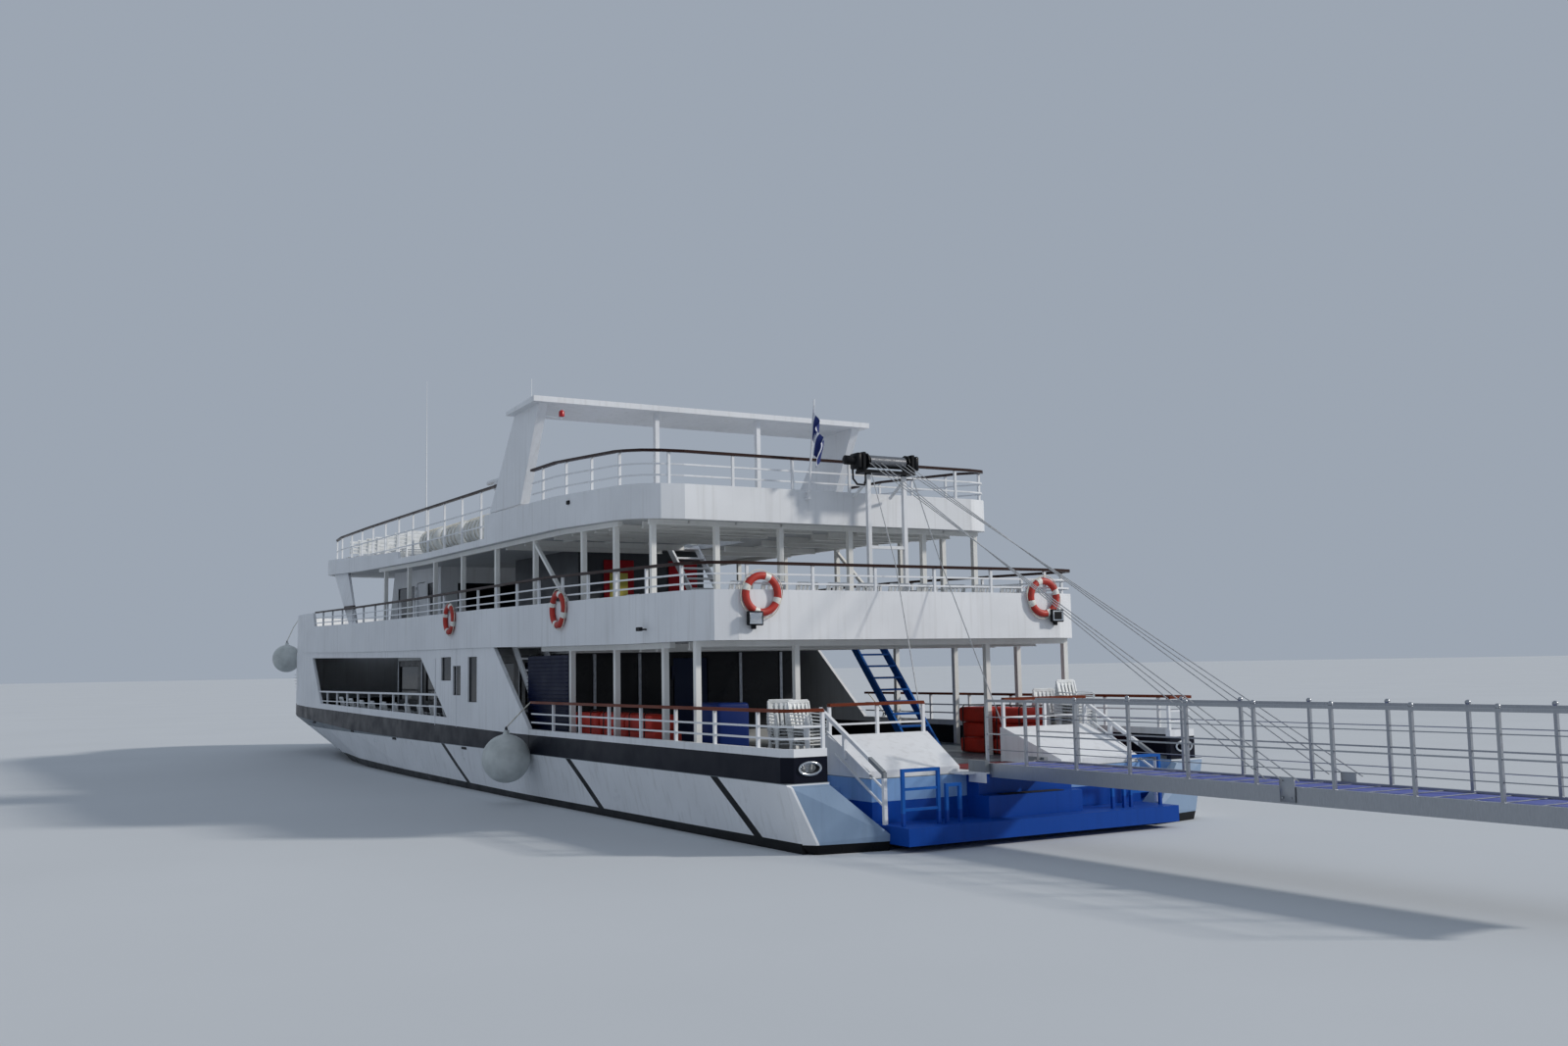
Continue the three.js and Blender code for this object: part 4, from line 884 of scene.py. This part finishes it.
# %% Scuppers, step tread and mat
SCUPPERS = [(13.2, 4.235, 1.2), (8.0, 4.262, 1.06), (3.4, 4.272, 1.0), (-2.6, 4.272, 0.98)]
slots = []
for x, y, z in SCUPPERS:
    for s in (1, -1):
        slots.append(block(x - 0.16, x + 0.16, s * (y - 0.03), s * (y + 0.006), z - 0.035, z + 0.02, 0.006))
joined("scuppers", slots, rubber)
step_tread = block(-18.02, -17.82, -0.6, 0.6, 0.703, 0.712, 0.002)
mat_red = finish("recess_mat", tone(120, 30, 36), tone(92, 40, 44), 0.95, 10.0, 220.0, 0.7)
recess_mat = block(-17.3, -16.35, -0.78, 0.78, 1.061, 1.074, 0.003)
joined("recess_mat", [recess_mat], mat_red)
joined("step_tread", [step_tread], rubber)

# %% [markdown]
# ## Monobloc chairs
# The decks are full of white one-piece plastic chairs. The real chair is one moulding, but it shows
# small, so it is built from bevelled slats: a seat, four legs, five back slats that lean, a top rail
# and two arms. It is joined and copied, each copy moved in its own mesh. At the stern they are
# nested in stacks.

# %% One chair
def make_chair():
    parts = [block(-0.21, 0.22, -0.21, 0.21, 0.425, 0.45, 0.01)]
    for x, y in ((0.19, 0.2), (0.19, -0.2), (-0.2, 0.2), (-0.2, -0.2)):
        parts.append(plank((x * 1.15, y * 1.15, 0.0), (x, y, 0.43), 0.05, 0.05, 0.008))
    for step in range(5):
        y = -0.16 + step * 0.08
        parts.append(plank((-0.2, y, 0.45), (-0.3, y * 1.1, 0.84), 0.05, 0.012, 0.004))
    parts.append(plank((-0.3, -0.22, 0.85), (-0.3, 0.22, 0.85), 0.03, 0.07, 0.012))
    for s in (1, -1):
        parts.append(plank((-0.27, s * 0.235, 0.66), (0.18, s * 0.235, 0.64), 0.045, 0.018, 0.006))
        parts.append(plank((0.18, s * 0.235, 0.64), (0.2, s * 0.215, 0.43), 0.03, 0.04, 0.006))
        parts.append(plank((-0.2, s * 0.215, 0.45), (-0.3, s * 0.22, 0.86), 0.035, 0.03, 0.006))
    return glued(parts)


chair_white = finish("chair_white", tone(233, 235, 236), tone(200, 202, 198), 0.42, 9.0, 80.0, 0.05)
chair = make_chair()
print("chair", len(chair.data.polygons), "faces")

# %% Chairs on the decks, and stacked at the stern
SEATS = []
for step in range(11):
    SEATS.append((-14.12, -3.25 + step * 0.65, "upper", 0.06 * (step % 3 - 1)))
for x in (-9.6, -7.6, -5.4, -0.4, 2.2, 4.4):
    SEATS.append((x, 3.35, "upper", math.pi * 0.5 + 0.2))
    SEATS.append((x + 0.9, -3.3, "upper", -math.pi * 0.5))
for x in (-11.2, -9.4, -7.8):
    SEATS.append((x, 1.3, "upper", 0.4))
    SEATS.append((x + 0.2, -0.9, "upper", 2.6))
for x in (-0.3, 0.8, 1.9, 3.1, 4.3, 5.4, 6.7, 7.9, 9.2, 10.4):
    SEATS.append((x, 3.72, "main", math.pi * 1.5))
    SEATS.append((x + 0.3, -3.72, "main", math.pi * 0.5))
set_out = {"main": [], "upper": []}
for x, y, deck, turn in SEATS:
    set_out[deck].append(moved_copy(chair, shift(x, y, follow(LEVELS[deck], x) + 0.01, turn)))
joined("main_deck_chairs", set_out["main"], chair_white)
joined("upper_deck_chairs", set_out["upper"], chair_white)
STACKS = [(-14.95, 2.75, 6, 2.9), (-15.6, 2.7, 6, 3.3), (-15.05, -2.95, 7, 3.0), (-15.75, -2.9, 10, 3.2)]
STACK_FOOT = 1.04
NEST = 0.055
stacked = []
for x, y, count, turn in STACKS:
    for layer in range(count):
        place = shift(x, y, STACK_FOOT + NEST * layer, turn) @ shift(0.01 * layer, 0, 0)
        stacked.append(moved_copy(chair, place))
joined("chair_stacks", stacked, chair_white)
remove([chair])

# %% [markdown]
# ## Life floats and lockers
# By the rails lie orange-red life floats, three to a stack and held by dark straps. Each float is a
# rigid block with a wide bevel, and its top and bottom are inset a little, as moulded foam is.

# %% Life floats
def life_float(x, y, z, length, width, height):
    piece = block(x - length / 2, x + length / 2, y - width / 2, y + width / 2, z, z + height, 0)
    bpy.ops.object.mode_set(mode="EDIT")
    bpy.ops.mesh.select_all(action="SELECT")
    bpy.ops.mesh.bevel(offset=0.06 * K, segments=3, affect="EDGES")
    bpy.ops.mesh.select_all(action="DESELECT")
    bpy.ops.object.mode_set(mode="OBJECT")
    for face in piece.data.polygons:
        face.select = abs(face.normal.z) > 0.9 and face.area > 0.2 * length * width * K * K
    bpy.ops.object.mode_set(mode="EDIT")
    bpy.ops.mesh.inset(thickness=0.09 * K, depth=-0.02 * K)
    bpy.ops.object.mode_set(mode="OBJECT")
    return piece


float_red = finish("life_float_red", tone(206, 50, 32), tone(160, 40, 30), 0.55, 5.0, 70.0, 0.2)
strap_dark = finish("float_strap", tone(40, 36, 40), tone(70, 62, 60), 0.85, 12.0, 160.0, 0.5)
FLOATS = [(-8.9, 3.5, 1.16), (-10.15, 3.48, 1.16), (-11.4, 3.5, 1.16),
          (-13.7, -2.52, 0.96), (-14.75, -2.5, 0.96)]
LAYERS = [(1.04, 0.02), (1.33, -0.015), (1.62, 0.03)]
STRAP = [(-0.315, 1.05), (-0.325, 1.9), (-0.28, 1.94), (0.31, 1.945), (0.345, 1.9), (0.345, 1.05)]
floats = []
straps = []
for x, y, length in FLOATS:
    for z, aside in LAYERS:
        floats.append(life_float(x + aside, y + aside, z, length, 0.58, 0.285))
    for side in (-0.33, 0.33):
        straps.append(tube([(x + side, y + across, z) for across, z in STRAP], 0.012))
joined("life_floats", floats, float_red, smooth=50)
joined("life_float_straps", straps, strap_dark, smooth=60)

# %% [markdown]
# ## Locker, louvred screen and notice boards
# A blue locker stands by the port rail on a low base. It is moulded like the floats, so the same
# rounded block serves for it. Forward of it a navy screen with a row of louvres closes the side; each
# louvre is a thin plank, because only its edge catches the light. The boards on the bar house are
# bare red panels, one with a yellow card.

# %% Locker, louvred screen and notice boards
locker_blue = ship_paint("locker_blue", tone(22, 44, 104), None, 0.5)
locker = life_float(-13.4, 3.15, 1.34, 1.0, 0.62, 0.8)
locker_base = block(-13.8, -13.0, 2.95, 3.35, 1.04, 1.35, 0.02)
joined("deck_locker", [locker], locker_blue, smooth=50)
joined("deck_locker_base", [locker_base], white_paint)
navy_panel = ship_paint("louvre_navy", tone(12, 24, 60), None, 0.5)
LOUVRE_Z = [1.12 + step * 0.081 for step in range(24)]
screen = [block(-8.3, -6.0, 3.93, 3.945, 1.05, 3.06, 0.003)]
screen += [plank((-8.28, 3.962, z), (-6.02, 3.962, z), 0.045, 0.012, 0.003) for z in LOUVRE_Z]
joined("louvred_screen", screen, navy_panel)
BOARD_X = -3.42
board_red = ship_paint("board_red", tone(168, 28, 38), None, 0.5)
boards = [block(BOARD_X - 0.03, BOARD_X, y, y + 0.8, 4.3, 5.42, 0.01) for y in (0.25, -1.5)]
joined("notice_boards", boards, board_red)
card_yellow = finish("notice_card", tone(214, 200, 92), tone(196, 186, 110), 0.8, 8.0, 60.0)
card = block(BOARD_X - 0.036, BOARD_X - 0.028, 0.42, 0.9, 4.5, 5.1, 0.002)
joined("notice_cards", [card], card_yellow)

# %% [markdown]
# ## Liferafts
# Each liferaft lies in a white glass-fibre canister: two half shells with a flange between them,
# strengthening ribs and domed ends, strapped to a cradle. The canister is turned from a table of
# radius and length, laid on its side and copied along the rail.

# %% Canisters, cradles and lashings
RAFTS = [-1.15, 0.75, 2.65]
HALF_CANISTER = [(0.345, 0.12), (0.357, 0.16), (0.345, 0.2), (0.345, 0.42), (0.355, 0.46), (0.345, 0.5),
                 (0.335, 0.61), (0.29, 0.69), (0.2, 0.735), (0.06, 0.75)]
canister = turned([(r, -along) for r, along in reversed(HALF_CANISTER)] + HALF_CANISTER, 28)
canister.data.transform(Matrix.Rotation(math.radians(90), 4, "Y"))
flange = block(-0.735, 0.735, -0.358, 0.358, -0.014, 0.014, 0.006)
for vertex in flange.data.vertices:
    if abs(vertex.co.x) > 0.6 * K:
        vertex.co.y *= 0.8
glued([canister, flange])
loop_angles = [step * math.pi / 12 for step in range(24)]
band_strap = tube([(0, 0.362 * math.cos(a), 0.362 * math.sin(a)) for a in loop_angles], 0.011, True)
rail_foot = follow(SUN_DECK, 3.15)
shells = []
lashings = []
for s in (1, -1):
    for x in RAFTS:
        z = max(follow(SUN_DECK, x - 0.5), follow(SUN_DECK, x + 0.5)) + 0.46
        shells.append(moved_copy(canister, shift(x, s * 3.3, z)))
        for at in (-0.56, -0.28, 0.03, 0.3, 0.56):
            lashings.append(moved_copy(band_strap, shift(x + at, s * 3.3, z)))
        for at in (-0.5, 0.4):
            shells.append(block(x + at, x + at + 0.1, s * 3.0, s * 3.6, z - 0.457, z - 0.27, 0.012))
    shells.append(block(-1.65, 3.15, s * 3.27, s * 3.33, rail_foot + 0.1, rail_foot + 0.18, 0.01))
remove([canister, band_strap])
raft_white = finish("raft_shell", tone(226, 228, 226), tone(178, 180, 174), 0.38, 6.0, 60.0, 0.08)
canisters = joined("liferaft_canisters", shells, raft_white, smooth=40)
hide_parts("liferafts_port", "liferafts_stbd")
joined("liferaft_lashings", lashings, white_rope, smooth=60)

# %% [markdown]
# ## Foot plates of the arch posts
# The two slim posts under the arch end on small square plates that are welded to the deck. A plate is
# one thin block with a fine bevel, because no more than its top and its edge shows.

# %% Arch foot plates
plate_z = follow(SUN_DECK, -7.0) + 0.001
foot_plates = [block(-7.1, -6.9, y - 0.1, y + 0.1, plate_z, plate_z + 0.017, 0.003) for y in (-1.3, 1.3)]
joined("arch_foot_plates", foot_plates, white_paint)

# %% [markdown]
# ## Sun-deck benches and loungers
# Forward on the sun deck stand slatted white benches, and aft there are low loungers with blue
# slats. Both are a frame with repeated slats, so one of each is built and copied.

# %% One bench and one lounger
def make_bench():
    parts = []
    for y in (-0.62, 0.62):
        parts.append(plank((0.2, y, 0), (0.2, y, 0.44), 0.05, 0.05))
        parts.append(plank((-0.2, y, 0), (-0.32, y, 0.95), 0.05, 0.05))
        parts.append(plank((-0.24, y, 0.42), (0.24, y, 0.42), 0.05, 0.05))
    for step in range(5):
        parts.append(block(-0.22 + step * 0.1, -0.14 + step * 0.1, -0.7, 0.7, 0.445, 0.47, 0.006))
    for step in range(4):
        x = -0.26 - step * 0.016
        parts.append(block(x - 0.012, x + 0.012, -0.7, 0.7, 0.56 + step * 0.11, 0.64 + step * 0.11, 0.006))
    return glued(parts)


def make_lounger():
    parts = []
    for y in (-0.3, 0.3):
        parts.append(plank((-0.95, y, 0.3), (0.35, y, 0.3), 0.05, 0.05))
        parts.append(plank((0.35, y, 0.3), (0.95, y, 0.72), 0.05, 0.05))
        parts.append(plank((-0.8, y, 0), (-0.8, y, 0.3), 0.05, 0.05))
        parts.append(plank((0.3, y, 0), (0.3, y, 0.3), 0.05, 0.05))
    return glued(parts)


def make_lounger_slats():
    parts = []
    for step in range(14):
        x = -0.93 + step * 0.09
        parts.append(block(x, x + 0.07, -0.29, 0.29, 0.325, 0.34, 0.005))
    for step in range(7):
        x = 0.4 + step * 0.085
        z = 0.36 + step * 0.0595
        parts.append(plank((x, -0.29, z), (x, 0.29, z), 0.07, 0.015, 0.004))
    return glued(parts)


bench = make_bench()
frame_piece = make_lounger()
slat_piece = make_lounger_slats()
print("bench", len(bench.data.polygons), "faces")

# %% Benches and loungers set out
BENCH_X = [6.1, 7.2, 8.3, 9.4, 10.5, 11.6, 12.6]
benches = []
for x in BENCH_X:
    for y in ((2.65, 0.85, -2.65, -0.85) if x < 12 else (2.65, -2.65)):
        benches.append(moved_copy(bench, shift(x, y, follow(SUN_DECK, x) + 0.01)))
joined("sun_deck_benches", benches, chair_white)
lounger_blue = finish("lounger_blue", tone(26, 66, 156), tone(60, 92, 160), 0.6, 9.0, 120.0, 0.2)
LOUNGERS = [(-10.1, -2.3, 0.1), (-10.0, -1.3, 0.0), (-10.1, 1.2, 0.05), (-10.0, 2.3, -0.1), (-8.3, 2.9, 0.0),
            (-8.0, -2.9, 0.0), (-4.6, 2.6, 0.0), (-2.3, 1.4, 0.0), (-0.2, 1.4, 0.1), (-2.3, -2.2, 0.0),
            (-0.2, -2.2, 0.0), (2.4, 1.3, 0.0), (2.4, -1.3, 0.0)]
lounger_frames = []
beds = []
for x, y, turn in LOUNGERS:
    z = max(follow(SUN_DECK, x - 0.9), follow(SUN_DECK, x + 0.9)) + 0.01
    lounger_frames.append(moved_copy(frame_piece, shift(x, y, z, turn)))
    beds.append(moved_copy(slat_piece, shift(x, y, z, turn)))
remove([bench, frame_piece, slat_piece])
joined("lounger_frames", lounger_frames, chair_white)
joined("lounger_slats", beds, lounger_blue)

# %% [markdown]
# ## Deck beams
# Steel decks are stiffened by beams below. They show here, because the eye is low and looks up under
# both decks. Each beam is a flat bar across the deck with a short flange. They are loose blocks and
# not part of the deck's mesh, so one helper sets them all, each at the deck's height at its place.

# %% Beams under the decks
SLAB = 0.125
UPPER_BEAMS = [(-13.6, -3.85, 3.85), (-12.3, -3.85, 3.85), (-11.6, -2.0, 3.85), (-8.4, -2.0, 3.85),
               (-7.4, -3.85, 2.9)]
beams = []


def deck_beam(x, y0, y1, z):
    beams.append(block(x - 0.02, x + 0.02, y0, y1, z - 0.12, z - 0.003, 0))
    beams.append(block(x - 0.05, x + 0.05, y0, y1, z - 0.135, z - 0.118, 0))


for x, y0, y1 in UPPER_BEAMS:
    deck_beam(x, y0, y1, follow(UPPER_DECK, x) - SLAB)
for x in (-11.2, -10.1, -9.4, -8.2, -7.2, -5.4, -4.2):
    reach = 3.6 if x < -10.5 else 3.8
    for y0, y1 in ((-reach, -1.25), (-0.15, reach)):
        deck_beam(x, y0, y1, follow(SUN_DECK, x) - SLAB)
for y in (-2.9, -1.9, 1.0, 2.0, 3.0):
    for x in (-11.6, -10.3, -9.0, -7.8, -6.6):
        z = follow(SUN_DECK, x) - SLAB
        beams.append(block(x - 0.35, x + 0.9, y - 0.012, y + 0.012, z - 0.07, z - 0.013, 0))
joined("deck_beams", beams, ceiling_paint)

# %% [markdown]
# ## Ceiling lamps
# Round glass lamps sit under both decks. Each is a shallow bowl, so it is turned from five rows, and
# the copies follow the height of the deck above them.

# %% Ceiling lamps
lamp = turned([(0.09, 0.0), (0.1, -0.01), (0.1, -0.03), (0.075, -0.05), (0.03, -0.058)], 20)
LAMPS = [(-10.8, 0.95, "sun"), (-8.8, 0.95, "sun"), (-6.2, 2.4, "sun"), (-8.8, -2.4, "sun"),
         (-13.0, 1.4, "upper"), (-10.4, 1.4, "upper"), (-12.8, -1.4, "upper"), (-7.9, 1.4, "upper")]
LAMP_DROP = 0.128
lamps = [moved_copy(lamp, shift(x, y, follow(LEVELS[deck], x) - LAMP_DROP)) for x, y, deck in LAMPS]
remove([lamp])
lamp_glass = finish("lamp_glass", tone(230, 228, 214), tone(200, 196, 180), 0.3, 20.0, 60.0)
joined("ceiling_lamps", lamps, lamp_glass, smooth=50)

# %% [markdown]
# ## Floodlights and small fittings
# Two floodlights point down at the gangway from the after band. Each is a black case with a bright
# reflector folded like an envelope, made by poking its front face and pushing the middle point in.

# %% Floodlights and bracket lamps
def floodlight_case(x, y, z):
    return [block(x, x + 0.07, y - 0.15, y + 0.15, z - 0.12, z + 0.12, 0.015),
            block(x + 0.06, x + 0.12, y - 0.04, y + 0.04, z - 0.18, z + 0.02, 0.008),
            plank((x + 0.09, y, z - 0.16), (x + 0.17, y * 0.99, z - 0.05), 0.03, 0.02)]


def reflector(x, y, z):
    piece = block(x - 0.006, x + 0.004, y - 0.125, y + 0.125, z - 0.095, z + 0.095, 0)
    for face in piece.data.polygons:
        face.select = face.normal.x < -0.9
    for edge in piece.data.edges:
        edge.select = False
    bpy.ops.object.mode_set(mode="EDIT")
    bpy.ops.mesh.select_mode(type="FACE")
    bpy.ops.mesh.poke(offset=-0.025 * K)
    bpy.ops.object.mode_set(mode="OBJECT")
    return piece


LIGHTS = [(-14.9, 3.25, 3.56), (-14.9, -3.34, 3.62)]
cases = []
mirrors = []
for place in LIGHTS:
    cases += floodlight_case(*place)
    mirrors.append(reflector(*place))
for s in (1, -1):
    cases.append(plank((-12.74, s * 4.25, 3.44), (-12.74, s * 4.4, 3.44), 0.03, 0.03))
    cases.append(block(-12.82, -12.66, s * 4.36, s * 4.43, 3.41, 3.48, 0.01))
    cases.append(block(-8.86, -8.74, s * 4.1, s * 4.16, 6.08, 6.16, 0.01))
joined("light_cases", cases, black_steel)
joined("light_reflectors", mirrors, chrome, smooth=20)

# %% [markdown]
# ## Radar bar and mast lamp
# Forward of the arch stands a radar bar on a short post. Under the arch's top hangs a red lamp on a
# bracket arm, and a short aerial stands on the port end of the top. They show as small shapes
# against the sky, so plain blocks, one turned lamp and a thin tube are enough.

# %% Radar bar, mast lamp and short aerial
radar_bar = block(-4.2, -2.7, 3.66, 3.78, 7.2, 7.3, 0.03)
radar_motor = block(-3.55, -3.35, 3.62, 3.82, 7.0, 7.2, 0.02)
radar_post = plank((-3.45, 3.72, 5.86), (-3.45, 3.72, 7.02), 0.06, 0.06)
joined("radar_bar", [radar_bar, radar_motor, radar_post], white_paint, smooth=40)
lamp_red = finish("mast_lamp_red", tone(190, 24, 30), tone(140, 20, 26), 0.25, 20.0, 60.0)
red_lamp = turned([(0.03, -0.07), (0.06, -0.06), (0.06, 0.04), (0.04, 0.07), (0.015, 0.08)], 16)
red_lamp.data.transform(shift(-7.37, 3.7, 8.2))
joined("mast_lamp", [red_lamp], lamp_red, smooth=50)
lamp_arm = plank((-7.37, 3.7, 8.1), (-6.88, 3.93, 8.22), 0.03, 0.03)
lamp_foot = plank((-7.37, 3.7, 8.12), (-7.37, 3.7, 8.14), 0.1, 0.02)
short_aerial = tube([(-6.9, 4.2, 8.54), (-6.9, 4.2, 9.0)], 0.008)
joined("lamp_arm", [lamp_arm, lamp_foot, short_aerial], white_paint)

# %% [markdown]
# ## Bow vents and house details
# The bow wall has a three-cornered vent each side, filled with bars. Rows of small fittings give the
# tall white sides their scale: the welded seams of the plating and the frames of the saloon. A seam
# could be a bump in the paint, but a thin tube along it keeps its shadow from every side.

# %% Vent bars, seams and saloon frames
vent_bars = []
for s in (1, -1):
    for step in range(5):
        z = 2.32 + step * 0.11
        x0 = 17.1 + (z - 2.25) * 2.0
        inner_y = 4.0 - (x0 - 17.1) * 0.14
        vent_bars.append(plank((x0, s * inner_y, z), (18.28, s * 3.76, z), 0.05, 0.015))
joined("vent_bars", vent_bars, white_paint)
saloon_frames = []
for s in (1, -1):
    for x in (-5.4, -2.65, 0.05, 2.75, 5.45, 7.9):
        saloon_frames.append(block(x - 0.04, x + 0.04, s * 2.9, s * 2.93, 1.1, 3.1, 0.008))
    saloon_frames.append(block(-6.0, 8.0, s * 2.9, s * 2.92, 1.78, 1.84, 0.006))
for y in (-2.4, -1.3, 1.3, 2.4):
    saloon_frames.append(block(-6.035, -6.0, y - 0.04, y + 0.04, 1.1, 3.1, 0.008))
joined("saloon_frames", saloon_frames, steel)
seams = []
for s in (1, -1):
    seams.append(tube([(-0.3, s * 4.268, 1.45), (-0.3, s * 4.268, 3.1)], 0.008))
    seams.append(tube([(-2.0, s * 4.268, 3.42), (-2.0, s * 4.268, 1.44)], 0.004))
joined("plate_seams", seams, white_paint)

# %% [markdown]
# ## Floor and light
# The boat is afloat, so the pale floor lies at the waterline and the hull below it doesn't show. The
# light is a wide soft sky with one weak sun from astern and starboard, so the port side is in open
# shade as it is in the photograph.

# %% Floor and soft light
start_clean()
bpy.ops.mesh.primitive_plane_add(size=1200, location=(0, 0, 0))
floor = bpy.context.object
floor.name = "floor"
floor_tree = Tree("floor_matt", 0.8)
cloudy = floor_tree.span(floor_tree.noise(0.3), 0.3, 0.7)
floor_tree.colour(floor_tree.mix(cloudy, tone(200, 204, 208), tone(204, 208, 212)))
floor.data.materials.append(floor_tree.material)

world = bpy.data.worlds.new("studio_sky")
bpy.context.scene.world = world
world.use_nodes = True
sky = world.node_tree.nodes["Background"]
sky.inputs["Color"].default_value = (0.64, 0.73, 0.86, 1)
sky.inputs["Strength"].default_value = 0.52
start_clean()
bpy.ops.object.light_add(type="SUN", rotation=(math.radians(60), 0, math.radians(-36)))
sun = bpy.context.object
sun.data.energy = 2.1
sun.data.angle = math.radians(5)
sun.data.color = (1.0, 0.95, 0.88)
bpy.context.scene.view_settings.view_transform = "Standard"
bpy.context.scene.view_settings.exposure = 0.0
